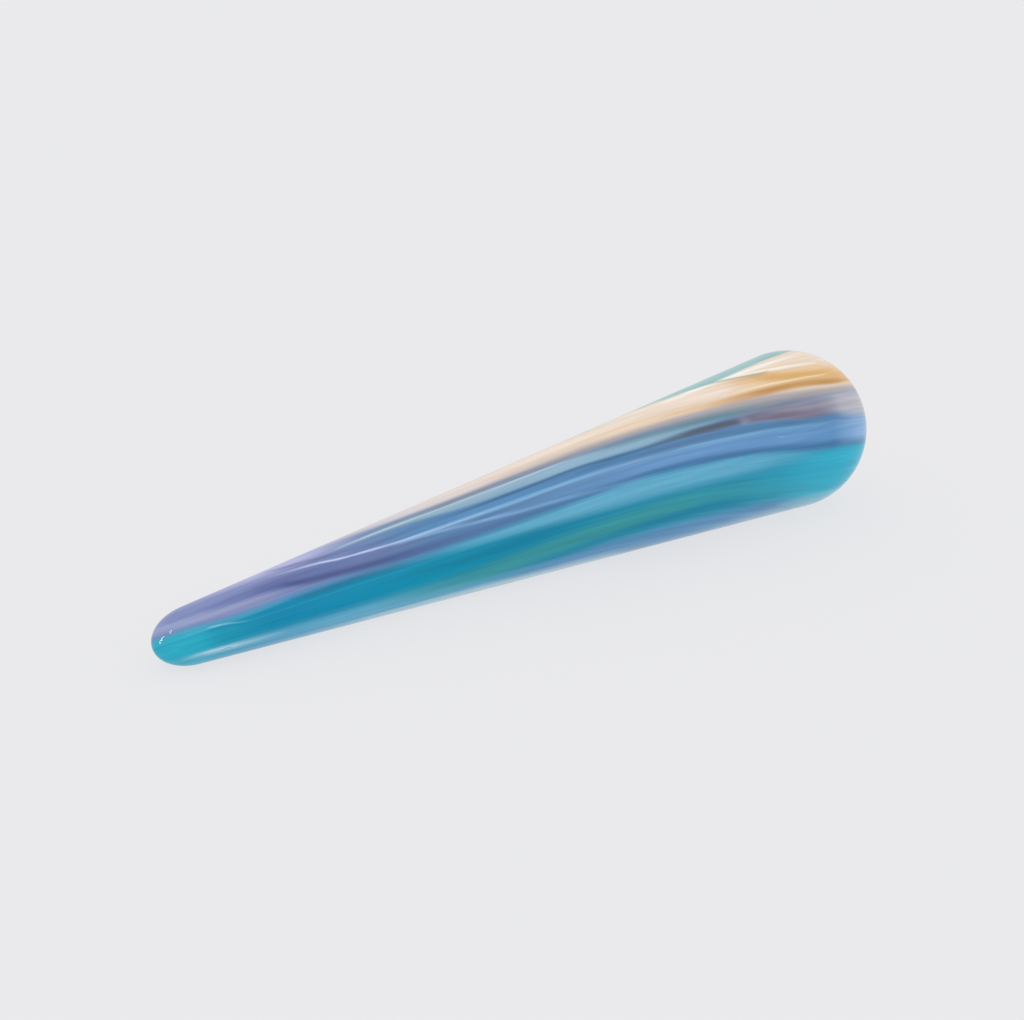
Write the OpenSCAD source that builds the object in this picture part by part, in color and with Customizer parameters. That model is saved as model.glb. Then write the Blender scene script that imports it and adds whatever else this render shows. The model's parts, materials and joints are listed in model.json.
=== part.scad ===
// Pocket glass dip pen. A solid marbled glass barrel, round at both ends, carries its own nib:
// the glass nib sits in a plug that fits the socket in the wide end, point inwards to carry it
// and point outwards to write. It is drawn here as it is carried.
//
// Every piece is drawn along Z with the wide end's pole at the origin and the socket opening
// upwards, so a depth below the pole is a negative Z. lay_down() then rests the pen on its side
// on the table, wide end towards +X.

/* [Barrel] */
// Diameter of the wide end
barrel_d = 18; // [15:0.5:24]
// Overall length of the pen
barrel_length = 90; // [75:1:120]
// Diameter of the tail where its taper ends
tail_d = 6.2; // [5:0.1:8]
// Diameter of the round at the very tip of the tail
tail_tip_d = 4.9; // [4:0.1:5.5]
// Distance from the end of the taper to the round at the tip, centre to centre
tail_nose = 1.9; // [1:0.1:4]

/* [Nib] */
// Length of the fluted point, from the plug to the tip
nib_length = 30; // [22:1:38]
// Largest diameter of the fluted point
nib_d = 6.1; // [5:0.1:7.4]
// Diameter of the ball that writes
nib_ball_d = 0.7; // [0.5:0.1:1.2]
// Length of the plain shoulder behind the flutes
nib_shoulder = 3; // [2:0.5:6]
// Step out from the shank to the shoulder
neck_step = 0.15; // [0.1:0.05:0.4]
// Number of flutes
flute_count = 8; // [6:1:12]
// Depth of a flute at the thickest part of the point
flute_depth = 0.55; // [0.2:0.05:0.8]
// Turn of the flutes from the shoulder to the ball, in degrees
flute_twist = 200; // [0:10:360]
// Diameter of the plain shank held in the plug
shank_d = 4.2; // [3.2:0.1:5.1]
// Length of the shank inside the plug
shank_length = 9.4; // [8:0.2:12]

/* [Plug] */
// Width of the seat that stops the plug, measured beside the nib's way through
seat_w = 0.5; // [0.4:0.1:1.2]
// Thickness of the glass cabochon on the plug's end
cabochon_t = 2.7; // [2:0.1:4]
// Width of the metal rim around the cabochon
bezel_w = 0.8; // [0.6:0.1:1.2]
// Thickness of metal between the cabochon and the shank's socket
web_t = 2.9; // [2.4:0.1:5]
// Wall of the plug around the soft bush
plug_wall = 0.9; // [0.6:0.1:1.2]
// Length of the bush
bush_length = 3.6; // [2:0.2:5]
// Length of the gland nut
gland_length = 2; // [1.4:0.1:3]
// Bottom of the gland nut's thread below the bush's bore
thread_step = 0.15; // [0.1:0.05:0.3]
// Width of the two spanner slots in the gland nut
spanner_w = 0.7; // [0.5:0.1:1]
// Depth of the two spanner slots
spanner_depth = 0.6; // [0.3:0.1:1]
// Thickness of the plug's edge above the nail groove
lip_t = 0.6; // [0.4:0.1:1.2]
// Width of the nail groove
nail_groove_w = 0.6; // [0.4:0.1:1]
// Depth of the nail groove
nail_groove_depth = 0.4; // [0.2:0.05:0.5]

/* [Seals] */
// Thickness of an O-ring as fitted
ring_t = 0.91; // [0.6:0.01:1]
// Extra width of an O-ring's groove
ring_side_gap = 0.24; // [0.1:0.02:0.4]

/* [Socket] */
// Wall of the metal sleeve
sleeve_wall = 0.45; // [0.3:0.05:0.8]
// Thickness of the stop washer
washer_t = 0.8; // [0.4:0.1:1.5]
// Thickness of the ledge under the stop washer
ledge_t = 0.8; // [0.5:0.1:1.5]
// Radius of the nail nick in the mouth
nick_r = 1.3; // [1:0.1:1.6]
// Distance from the plug's side to the middle of the nail nick
nick_offset = 0.5; // [0.2:0.1:0.8]
// Thickness of the cushion under the nib's point
cushion_t = 3; // [1.5:0.5:5]
// Depth of the dimple in the cushion
dimple_depth = 1; // [0.5:0.1:1.4]
// Chamfer at the bottom of the nib's bay
bay_chamfer = 0.8; // [0.2:0.1:1.2]

/* [Fits] */
// Radial clearance of the plug in its sleeve
slide_fit = 0.05; // [0.02:0.01:0.1]
// Radial clearance of an O-ring on each side
ring_fit = 0.02; // [0.01:0.01:0.04]
// Gap of a glued or screwed joint
joint_gap = 0.03; // [0.01:0.01:0.05]
// Clearance around the nib in its way through the seat
nib_clear = 0.3; // [0.2:0.05:0.5]
// Further clearance of the nib's bay
bay_clear = 0.1; // [0:0.05:0.4]
// Gap between the seated plug and the stop washer
seat_gap = 0.05; // [0.02:0.01:0.2]
// Gap between the nib's shoulder and the plug
neck_gap = 0.3; // [0.1:0.1:1]
// Gap between the nib's point and its cushion
tip_gap = 1; // [0.5:0.1:2]

/* [Hidden] */
$fn = 96;

// Outside of the barrel: three balls joined by the cones that touch them
dome_r = barrel_d / 2;
tail_r = tail_d / 2;
tip_r = tail_tip_d / 2;
dome_z = -dome_r;
tip_z = -(barrel_length - tip_r);
tail_z = tip_z + tail_nose;

// Radii from the nib outwards
nib_r = nib_d / 2;
shank_r = shank_d / 2;
neck_r = shank_r + neck_step;
pass_r = nib_r + nib_clear;
plug_r = pass_r + seat_w;
sleeve_in_r = plug_r + slide_fit;
sleeve_out_r = sleeve_in_r + sleeve_wall;
bay_r = pass_r + bay_clear;
cabochon_r = plug_r - bezel_w;
bush_r = plug_r - plug_wall;
gland_r = bush_r + thread_step;
ring_seat_r = sleeve_in_r - ring_t - 2 * ring_fit;
ring_mid_r = (sleeve_in_r + ring_seat_r) / 2;
ring_groove_w = ring_t + ring_side_gap;

// Depths below the pole, from the mouth inwards
mouth_depth = dome_r - sqrt(dome_r * dome_r - plug_r * plug_r);
nail_groove_top = mouth_depth + lip_t;
shank_top = cabochon_t + web_t;
shank_end = shank_top + shank_length;
gland_end = shank_end + joint_gap;
gland_top = gland_end - gland_length;
bush_top = gland_top - bush_length;
plug_end = gland_end;
outer_ring_depth = cabochon_t + web_t / 2;
inner_ring_depth = (shank_top + bush_top) / 2;
washer_top = plug_end + seat_gap;
washer_end = washer_top + washer_t;
sleeve_end = washer_end + ledge_t;
shoulder_depth = plug_end + neck_gap;
point_depth = shoulder_depth + nib_length;
cushion_top = point_depth + tip_gap;
bay_end = cushion_top + cushion_t;

// Half-angle of the long cone, which is also the pen's lean as it lies on the table
lean = asin((dome_r - tail_r) / (dome_z - tail_z));
lying_length = (dome_z - tip_z) * cos(lean) + dome_r + tip_r;

// How far a cutter runs past what it shapes
spare = 1;
// How far each cone of the outside is let into the balls it joins
let_in = 0.005;

NIB_RINGS = 22;
SIDES_PER_FLUTE = 6;

// ---- shared shapes ----

// Rests a piece on the table with the rest of the pen
module lay_down() {
    translate([lying_length / 2 - dome_r + dome_r * cos(lean), 0, dome_r + dome_r * sin(lean)])
        rotate([0, 90 - lean, 0]) children();
}

// Rectangle between two radii and two depths
module band(r1, r2, top, bottom) {
    translate([r1, -bottom]) square([r2 - r1, bottom - top]);
}

module dome_disc() {
    translate([0, dome_z]) circle(dome_r);
}

// Cone from a ball of radius r1 at z1 down to a smaller one of radius r2 at z2. It would touch
// them both, but is let into them by a hair so that it crosses them and joins cleanly.
module tangent_cone(z1, r1, z2, r2) {
    slope = asin((r1 - r2) / (z1 - z2));
    top = z1 - r1 * sin(slope);
    bottom = z2 - r2 * sin(slope);
    translate([0, 0, bottom])
        cylinder(h = top - bottom, r1 = r2 * cos(slope) - let_in, r2 = r1 * cos(slope) - let_in);
}

module solid_barrel() {
    translate([0, 0, dome_z]) sphere(dome_r);
    tangent_cone(dome_z, dome_r, tail_z, tail_r);
    translate([0, 0, tail_z]) sphere(tail_r);
    tangent_cone(tail_z, tail_r, tip_z, tip_r);
    translate([0, 0, tip_z]) sphere(tip_r);
}

// Round hole or pin between two depths
module rod(r, top, bottom) {
    translate([0, 0, -bottom]) cylinder(h = bottom - top, r = r);
}

// Everything hollowed out of the glass
module bore() {
    rod(sleeve_out_r + joint_gap, -spare, sleeve_end + joint_gap);
    rod(bay_r, sleeve_end, bay_end - bay_chamfer);
    translate([0, 0, -bay_end])
        cylinder(h = bay_chamfer, r1 = bay_r - bay_chamfer, r2 = bay_r);
}

// Scoop in the mouth that lets a fingernail into the plug's groove. The ball lies on its side, so
// that its poles stay clear of the sleeve's walls.
module nail_nick() {
    translate([0, plug_r + nick_offset, -mouth_depth]) rotate([90, 0, 0]) sphere(nick_r);
}

// ---- barrel ----

module glass_barrel() {
    color([0.42, 0.62, 0.76]) lay_down() difference() {
        solid_barrel();
        bore();
        nail_nick();
    }
}

module socket_sleeve() {
    color([0.78, 0.62, 0.32]) lay_down() difference() {
        rotate_extrude() intersection() {
            dome_disc();
            union() {
                band(sleeve_in_r, sleeve_out_r, -spare, sleeve_end);
                band(pass_r, sleeve_out_r, washer_end, sleeve_end);
            }
        }
        nail_nick();
    }
}

module stop_washer() {
    color([0.2, 0.2, 0.22]) lay_down()
        rotate_extrude() band(pass_r, sleeve_in_r - joint_gap, washer_top, washer_end);
}

module tip_cushion() {
    color([0.85, 0.82, 0.76]) lay_down() rotate_extrude() difference() {
        polygon([
            [0, -cushion_top], [bay_r - joint_gap, -cushion_top],
            [bay_r - joint_gap, -bay_end + bay_chamfer + joint_gap],
            [bay_r - bay_chamfer - joint_gap, -bay_end], [0, -bay_end]
        ]);
        polygon([
            [-spare, -cushion_top + spare], [2 * dimple_depth, -cushion_top + spare],
            [2 * dimple_depth, -cushion_top], [0, -cushion_top - dimple_depth],
            [-spare, -cushion_top - dimple_depth]
        ]);
    }
}

// ---- seals ----

module o_ring(depth) {
    color([0.12, 0.12, 0.13]) lay_down()
        rotate_extrude() translate([ring_mid_r, -depth]) circle(ring_t / 2);
}

module outer_o_ring() { o_ring(outer_ring_depth); }

module inner_o_ring() { o_ring(inner_ring_depth); }

// ---- nib unit ----

module ring_groove(depth) {
    band(ring_seat_r, plug_r + spare, depth - ring_groove_w / 2, depth + ring_groove_w / 2);
}

module nib_holder() {
    color([0.85, 0.69, 0.38]) lay_down() rotate_extrude() intersection() {
        dome_disc();
        difference() {
            band(0, plug_r, -spare, plug_end);
            band(-spare, cabochon_r + joint_gap, -2 * spare, cabochon_t + joint_gap);
            band(-spare, shank_r + joint_gap, shank_top, plug_end + spare);
            band(-spare, bush_r, bush_top, plug_end + spare);
            band(-spare, gland_r + joint_gap, gland_top, plug_end + spare);
            band(plug_r - nail_groove_depth, plug_r + spare, nail_groove_top, nail_groove_top + nail_groove_w);
            ring_groove(outer_ring_depth);
            ring_groove(inner_ring_depth);
        }
    }
}

module end_cabochon() {
    color([0.36, 0.66, 0.76]) lay_down() rotate_extrude() intersection() {
        dome_disc();
        band(0, cabochon_r, -spare, cabochon_t);
    }
}

module nib_bush() {
    color([0.9, 0.9, 0.88]) lay_down()
        rotate_extrude() band(shank_r + joint_gap, bush_r - joint_gap, bush_top, gland_top);
}

module gland_nut() {
    color([0.72, 0.56, 0.28]) lay_down() difference() {
        rotate_extrude() band(shank_r + 2 * joint_gap, gland_r, gland_top, gland_end);
        translate([0, 0, -gland_end])
            cube([2 * gland_r + spare, spanner_w, 2 * spanner_depth], center = true);
    }
}

// Radius of the point without its flutes, t running from 0 at the shoulder to 1 at the ball
function point_r(t) =
    let (s = nib_shoulder / nib_length)
    t < s ? neck_r + (nib_r - neck_r) * sin(90 * t / s)
          : nib_ball_d / 2 + (nib_r - nib_ball_d / 2) * (1 - pow((t - s) / (1 - s), 1.5));

// How deep the flutes are cut at t: none on the shoulder, then in step with the thickness
function cut_depth(t) =
    let (s = nib_shoulder / nib_length)
    t <= s ? 0 : flute_depth * min(1, (t - s) / 0.12) * point_r(t) / nib_r;

function flute_point(t, turn) =
    let (r = point_r(t) - cut_depth(t) * (1 + cos(flute_count * turn)) / 2, a = turn + flute_twist * t)
    [r * cos(a), r * sin(a), -shoulder_depth - nib_length * t + nib_ball_d / 2 * t];

// The fluted point as rings of points, the last one closed by the ball's end
module fluted_point() {
    sides = flute_count * SIDES_PER_FLUTE;
    rings = [for (i = [0 : NIB_RINGS]) for (j = [0 : sides - 1]) flute_point(i / NIB_RINGS, 360 * j / sides)];
    last = len(rings);
    faces = concat(
        [[for (j = [sides - 1 : -1 : 0]) j]],
        [for (i = [0 : NIB_RINGS - 1]) for (j = [0 : sides - 1])
            [i * sides + (j + 1) % sides, (i + 1) * sides + j, i * sides + j]],
        [for (i = [0 : NIB_RINGS - 1]) for (j = [0 : sides - 1])
            [(i + 1) * sides + (j + 1) % sides, (i + 1) * sides + j, i * sides + (j + 1) % sides]],
        [for (j = [0 : sides - 1])
            [NIB_RINGS * sides + (j + 1) % sides, last, NIB_RINGS * sides + j]]
    );
    polyhedron(concat(rings, [[0, 0, -point_depth]]), faces);
}

module glass_nib() {
    color([0.8, 0.92, 0.95, 0.7]) lay_down() {
        rod(shank_r, shank_top + joint_gap, shoulder_depth + spare);
        fluted_point();
    }
}

glass_barrel();
socket_sleeve();
stop_washer();
tip_cushion();
outer_o_ring();
inner_o_ring();
nib_holder();
end_cabochon();
nib_bush();
gland_nut();
glass_nib();
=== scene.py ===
"""Looks of a pocket glass dip pen that lies on a table with its nib carried inside the barrel.

Each piece is turned or milled upright, as it would be on a bench: the pole of the wide end is at
the origin, Z runs out of the mouth, and a depth below the pole is a negative Z. Pen.lay() then
puts it where the CAD pen lies. Sizes are in millimetres where nothing else is said.
"""

import json
import logging
import math
from dataclasses import dataclass, field
from enum import Enum
from typing import Sequence

import bmesh
import bpy
from mathutils import Matrix, Vector


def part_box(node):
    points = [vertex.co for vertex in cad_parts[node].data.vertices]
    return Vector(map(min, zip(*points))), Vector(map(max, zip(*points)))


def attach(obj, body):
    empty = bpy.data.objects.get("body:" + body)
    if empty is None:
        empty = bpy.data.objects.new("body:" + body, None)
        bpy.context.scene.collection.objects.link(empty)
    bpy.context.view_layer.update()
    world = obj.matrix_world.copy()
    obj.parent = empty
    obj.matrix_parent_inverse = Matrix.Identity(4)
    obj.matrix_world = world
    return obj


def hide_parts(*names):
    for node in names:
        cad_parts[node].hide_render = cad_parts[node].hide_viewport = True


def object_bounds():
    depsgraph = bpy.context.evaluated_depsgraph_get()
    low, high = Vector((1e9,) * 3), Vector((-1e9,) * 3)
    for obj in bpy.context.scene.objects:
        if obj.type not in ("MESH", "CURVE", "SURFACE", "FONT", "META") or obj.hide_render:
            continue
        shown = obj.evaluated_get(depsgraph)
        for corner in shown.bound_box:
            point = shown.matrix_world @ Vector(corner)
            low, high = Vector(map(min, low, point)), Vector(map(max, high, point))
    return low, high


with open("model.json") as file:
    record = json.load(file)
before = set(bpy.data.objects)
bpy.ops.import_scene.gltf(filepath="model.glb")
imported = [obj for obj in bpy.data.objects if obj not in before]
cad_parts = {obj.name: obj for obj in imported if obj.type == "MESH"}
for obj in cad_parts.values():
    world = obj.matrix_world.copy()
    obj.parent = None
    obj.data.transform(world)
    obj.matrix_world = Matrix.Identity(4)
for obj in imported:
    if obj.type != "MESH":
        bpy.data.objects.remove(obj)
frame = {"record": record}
CAD_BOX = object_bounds()

LOG = logging.getLogger("glass_dip_pen")
MM = 0.001
SAME_SPOT = 0.000001

Point = tuple[float, float]
Track = tuple[Point, ...]
Colour = tuple[float, float, float]
Piece = bpy.types.Object
Socket = bpy.types.NodeSocket
Tree = bpy.types.NodeTree


class Body(str, Enum):
    """The three bodies of the pen that move apart."""

    BARREL = "barrel"
    SEALS = "seals"
    NIB_UNIT = "nib_unit"


class Slot(str, Enum):
    """Material slots of the record."""

    MARBLE = "marbled_glass"
    CABOCHON = "cabochon_glass"
    CLEAR = "clear_glass"
    SLEEVE = "sleeve_brass"
    HOLDER = "holder_brass"
    SEAL = "seal_rubber"
    WASHER = "washer_rubber"
    SILICONE = "soft_silicone"


# ---------------------------------------------------------------- bench tools


def deselect() -> None:
    """Leaves edit mode and selects nothing."""
    if bpy.context.object and bpy.context.object.mode != "OBJECT":
        bpy.ops.object.mode_set(mode="OBJECT")
    bpy.ops.object.select_all(action="DESELECT")


def pick(piece: Piece) -> None:
    """Selects one piece alone and makes it active.

    Args:
        piece: the piece.
    """
    deselect()
    piece.select_set(True)
    bpy.context.view_layer.objects.active = piece


def arc(centre: float, radius: float, start: float, end: float, count: int) -> list[Point]:
    """Finds points along an arc about a centre on the axis.

    Args:
        centre: depth of the centre.
        radius: the arc's radius.
        start: first angle in degrees, 90 being towards the pole and -90 towards the tail.
        end: last angle in degrees.
        count: number of steps.

    Returns:
        Points as radius and depth.
    """
    turns = [math.radians(start + (end - start) * i / count) for i in range(count + 1)]
    return [(max(radius * math.cos(t), 0.0), centre - radius * math.sin(t)) for t in turns]


def between(start: Point, end: Point, count: int) -> list[Point]:
    """Finds the points inside a straight line that is cut into equal steps."""
    (r0, z0), (r1, z1) = start, end
    return [(r0 + (r1 - r0) * i / count, z0 + (z1 - z0) * i / count) for i in range(1, count)]


def eased(before: Point, at: Point, after: Point, radius: float, count: int = 4) -> list[Point]:
    """Eases one corner.

    Args:
        before: the corner before it.
        at: the corner itself.
        after: the corner after it.
        radius: length taken off each side.
        count: number of steps.

    Returns:
        Points along the eased corner.
    """
    a, b, c = Vector(before), Vector(at), Vector(after)
    radius = min(radius, (a - b).length / 2, (c - b).length / 2)
    start, end = b + (a - b).normalized() * radius, b + (c - b).normalized() * radius
    steps = [i / count for i in range(count + 1)]
    return [tuple(start * (1 - t) ** 2 + b * 2 * t * (1 - t) + end * t**2) for t in steps]


def ring_outline(corners: Sequence[Point], radius: float) -> list[Point]:
    """Eases every corner of a closed outline.

    Args:
        corners: radius and depth of each corner, without the first one repeated.
        radius: length taken off each side of a corner.

    Returns:
        The outline with its first point repeated at the end.
    """
    count, points = len(corners), []
    for i, at in enumerate(corners):
        points += eased(corners[i - 1], at, corners[(i + 1) % count], radius)
    return points + points[:1]


def solid_outline(corners: Sequence[Point], radius: float) -> list[Point]:
    """Eases the corners of an outline whose two ends are on the axis.

    Args:
        corners: radius and depth of each corner.
        radius: length taken off each side of a corner.

    Returns:
        The outline, from the first end to the last.
    """
    points = [corners[0]]
    for before, at, after in zip(corners, corners[1:], corners[2:]):
        points += eased(before, at, after, radius)
    return points + [corners[-1]]


def close(piece: Piece) -> None:
    """Merges a piece's doubles, turns its faces outwards and leaves edit mode.

    Args:
        piece: the piece.
    """
    if piece.mode != "EDIT":
        pick(piece)
        bpy.ops.object.mode_set(mode="EDIT")
    bpy.ops.mesh.select_all(action="SELECT")
    bpy.ops.mesh.remove_doubles(threshold=SAME_SPOT)
    bpy.ops.mesh.normals_make_consistent(inside=False)
    bpy.ops.object.mode_set(mode="OBJECT")


def turn(name: str, outline: Sequence[Point], steps: int = 128) -> Piece:
    """Turns an outline about the axis, as on a lathe.

    Args:
        name: the piece's name.
        outline: points as radius and depth. It starts and ends on the axis, or ends where it
            starts.
        steps: number of steps in a full turn.

    Returns:
        The upright piece.
    """
    deselect()
    bpy.ops.mesh.primitive_plane_add(size=MM, location=(0, 0, 0))
    piece = bpy.context.object
    piece.name = piece.data.name = name
    bpy.ops.object.mode_set(mode="EDIT")
    bpy.ops.mesh.select_all(action="SELECT")
    bpy.ops.mesh.merge(type="CENTER")
    here = Vector((outline[0][0], 0, -outline[0][1])) * MM
    bpy.ops.transform.translate(value=here)
    for radius, depth in outline[1:]:
        there = Vector((radius, 0, -depth)) * MM
        bpy.ops.mesh.extrude_region_move(TRANSFORM_OT_translate={"value": there - here})
        here = there
    bpy.ops.mesh.select_all(action="SELECT")
    bpy.ops.mesh.spin(steps=steps, angle=2 * math.pi, center=(0, 0, 0), axis=(0, 0, 1))
    close(piece)
    return piece


def mill(piece: Piece, tool: Piece) -> None:
    """Cuts a tool's shape out of a piece and puts the tool away.

    Args:
        piece: the piece.
        tool: the tool, which is lost.
    """
    modifier = piece.modifiers.new("mill", "BOOLEAN")
    modifier.operation, modifier.solver, modifier.object = "DIFFERENCE", "EXACT", tool
    pick(piece)
    bpy.ops.object.modifier_apply(modifier=modifier.name)
    bpy.data.objects.remove(tool)


def open_mesh(piece: Piece) -> bmesh.types.BMesh:
    """Opens the mesh of a piece that is in edit mode.

    Args:
        piece: the piece.

    Returns:
        Its mesh, with vertices that can be looked up.
    """
    mesh = bmesh.from_edit_mesh(piece.data)
    mesh.verts.ensure_lookup_table()
    return mesh


def linear(code: str) -> Colour:
    """Turns a six-digit colour code into linear light."""
    parts = [int(code[i : i + 2], 16) / 255 for i in (0, 2, 4)]
    return tuple(p / 12.92 if p <= 0.04045 else ((p + 0.055) / 1.055) ** 2.4 for p in parts)


# ---------------------------------------------------------------- sizes and place


@dataclass(frozen=True)
class Pen:
    """Sizes that more than one piece shares, and where the pen lies.

    Attributes:
        dome_r: radius of the wide end.
        tail_r: radius of the tail where the taper ends.
        tip_r: radius of the round at the tail's tip.
        tail_nose: distance between the centres of those two rounds.
        length: overall length.
        plug_r: radius of the plug.
        pass_r: radius of the nib's way through the seat.
        sleeve_in_r: inside radius of the sleeve.
        sleeve_out_r: outside radius of the sleeve.
        plug_end: depth of the plug's inner end.
        washer_top: depth of the stop washer.
        washer_end: depth of the ledge that holds it.
        sleeve_end: depth of the sleeve's inner end.
        shoulder: depth of the nib's shoulder.
        gap: gap of a glued or screwed joint.
        ease: how far a metal edge is eased.
    """

    dome_r: float = 9.0
    tail_r: float = 3.1
    tip_r: float = 2.45
    tail_nose: float = 1.9
    length: float = 90.0
    plug_r: float = 3.85
    pass_r: float = 3.35
    sleeve_in_r: float = 3.9
    sleeve_out_r: float = 4.35
    plug_end: float = 15.03
    washer_top: float = 15.08
    washer_end: float = 15.88
    sleeve_end: float = 16.68
    shoulder: float = 15.33
    gap: float = 0.03
    ease: float = 0.07

    @property
    def axis(self) -> Vector:
        """Direction out of the mouth, along which the nib unit slides."""
        return Vector(frame["record"]["behaviour"]["joints"][0]["axis"]).normalized()

    @property
    def lean(self) -> float:
        """Angle between the axis and the table, in radians."""
        return math.asin(self.axis.z)

    @property
    def dome_centre(self) -> Vector:
        """Centre of the wide end's ball, in metres, found from the CAD pen's box."""
        return Vector((CAD_BOX[1][0] - self.dome_r * MM, 0.0, self.dome_r * MM))

    @property
    def tip_z(self) -> float:
        """Depth of the centre of the round at the tip."""
        return self.length - self.tip_r

    @property
    def tail_z(self) -> float:
        """Depth of the centre of the tail's round."""
        return self.tip_z - self.tail_nose

    @property
    def place(self) -> Matrix:
        """Carries an upright piece to where the pen lies."""
        pole = self.dome_centre + self.axis * self.dome_r * MM
        return Matrix.Translation(pole) @ Matrix.Rotation(math.pi / 2 - self.lean, 4, "Y")

    def dome_depth(self, radius: float) -> float:
        """Depth of the wide end's surface at a radius."""
        return self.dome_r - math.sqrt(self.dome_r**2 - radius**2)

    def lay(self, piece: Piece, smooth_angle: float) -> None:
        """Lays an upright piece down, leaves its object at the origin and shades it.

        Args:
            piece: the upright piece.
            smooth_angle: angle in degrees above which an edge stays sharp.
        """
        piece.matrix_world = self.place
        pick(piece)
        bpy.ops.object.transform_apply(location=True, rotation=True, scale=True)
        bpy.ops.object.shade_smooth_by_angle(angle=math.radians(smooth_angle))


# ---------------------------------------------------------------- nodes


class Graph:
    """A material's nodes, or a group's, with short names for making and joining them."""

    def __init__(self, tree: Tree) -> None:
        """Starts on a node tree."""
        self.tree = tree

    def add(self, kind: str, **settings: object) -> bpy.types.Node:
        """Adds a node.

        Args:
            kind: its kind, without the word that every shader node's starts with.
            settings: its properties by name.

        Returns:
            The node.
        """
        node = self.tree.nodes.new("ShaderNode" + kind)
        for name, value in settings.items():
            setattr(node, name, value)
        return node

    def feed(self, socket: Socket, value: object) -> None:
        """Gives an input its value.

        Args:
            socket: the input.
            value: another node's output, or a plain value.
        """
        if isinstance(value, Socket):
            self.tree.links.new(value, socket)
        else:
            socket.default_value = value

    def fed(self, node: bpy.types.Node, *values: object) -> bpy.types.Node:
        """Feeds a node's inputs in their own order.

        Args:
            node: the node.
            values: an output or a plain value for each input.

        Returns:
            The node.
        """
        for socket, value in zip(node.inputs, values):
            self.feed(socket, value)
        return node

    def feed_all(self, node: bpy.types.Node, **values: object) -> bpy.types.Node:
        """Feeds a node's inputs by name.

        Args:
            node: the node.
            values: an output or a plain value for each, an underscore standing for a space.

        Returns:
            The node.
        """
        for name, value in values.items():
            self.feed(node.inputs[name.replace("_", " ")], value)
        return node

    def math(self, operation: str, *values: object) -> Socket:
        """Adds a Math node over its values and returns its result."""
        return self.fed(self.add("Math", operation=operation), *values).outputs[0]

    def vector(self, operation: str, *values: object) -> bpy.types.Node:
        """Adds a Vector Math node over its values."""
        return self.fed(self.add("VectorMath", operation=operation), *values)

    def join(self, x: object, y: object, z: object) -> Socket:
        """Joins three numbers into a vector."""
        return self.fed(self.add("CombineXYZ"), x, y, z).outputs[0]

    def split(self, vector: Socket) -> Sequence[Socket]:
        """Splits a vector into its three numbers."""
        return self.fed(self.add("SeparateXYZ"), vector).outputs

    def spread(
        self,
        value: object,
        low: object,
        high: object,
        to_low: float = 0.0,
        to_high: float = 1.0,
        ease: str = "LINEAR",
    ) -> Socket:
        """Adds a clamped Map Range node and returns its result."""
        node = self.add("MapRange", interpolation_type=ease)
        return self.fed(node, value, low, high, to_low, to_high).outputs[0]

    def mix(self, share: object, first: object, second: object) -> Socket:
        """Adds a colour Mix node.

        Args:
            share: how much of the second colour shows.
            first: the first colour, or an output.
            second: the second one.

        Returns:
            The mixed colour.
        """
        node = self.add("Mix", data_type="RGBA")
        self.feed(node.inputs[0], share)
        for socket, value in ((node.inputs[6], first), (node.inputs[7], second)):
            self.feed(socket, (*value, 1.0) if isinstance(value, tuple) else value)
        return node.outputs[2]

    def noise(
        self, vector: object, scale: float, detail: float = 3.0, rough: float = 0.5
    ) -> Socket:
        """Adds a noise texture and returns its value, about 0.5 on average."""
        node, settings = self.add("TexNoise"), {"Detail": detail, "Roughness": rough}
        return self.feed_all(node, Vector=vector, Scale=scale, **settings).outputs[0]

    def bump(self, height: object, strength: float, depth: float) -> Socket:
        """Adds a Bump node of a depth in millimetres and returns its normal."""
        node = self.add("Bump")
        return self.feed_all(node, Strength=strength, Distance=depth * MM, Height=height).outputs[0]

    @property
    def here(self) -> Socket:
        """Object coordinates."""
        return self.add("TexCoord").outputs["Object"]


def new_group(name: str, inputs: Sequence[str], outputs: Sequence[str]) -> tuple[Graph, dict, dict]:
    """Starts a node group of plain numbers.

    Args:
        name: the group's name.
        inputs: names of its inputs. "Vector" and "Tracks" are vectors.
        outputs: names of its outputs.

    Returns:
        The group's nodes, and its inputs and outputs by name.
    """
    tree = bpy.data.node_groups.new(name, "ShaderNodeTree")
    for title in inputs:
        kind = "NodeSocketVector" if title in ("Vector", "Tracks") else "NodeSocketFloat"
        tree.interface.new_socket(name=title, in_out="INPUT", socket_type=kind)
    for title in outputs:
        tree.interface.new_socket(name=title, in_out="OUTPUT", socket_type="NodeSocketFloat")
    given = tree.nodes.new("NodeGroupInput").outputs
    result = tree.nodes.new("NodeGroupOutput").inputs
    return Graph(tree), {t: given[t] for t in inputs}, {t: result[t] for t in outputs}


def ribbon_group() -> Tree:
    """Builds the group that says how much of a ribbon shows at a place across the glass.

    Returns:
        The group. Its tracks are the ribbon's upper edge, its lower edge and its strength.
    """
    graph, given, result = new_group("ribbon", ("Across", "Tracks", "Softness"), ("Mask",))
    top, bottom, strength = graph.split(given["Tracks"])
    half = graph.math("MULTIPLY", given["Softness"], 0.5)

    def past(edge: Socket) -> Socket:
        """How far past an edge the place is, from 0 to 1 over the softness."""
        low, high = graph.math("SUBTRACT", edge, half), graph.math("ADD", edge, half)
        return graph.spread(given["Across"], low, high, ease="SMOOTHSTEP")

    inside = graph.math("SUBTRACT", past(top), past(bottom))
    shown = graph.math("MULTIPLY", graph.math("MAXIMUM", inside, 0.0), strength)
    graph.feed(result["Mask"], shown)
    return graph.tree


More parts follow.
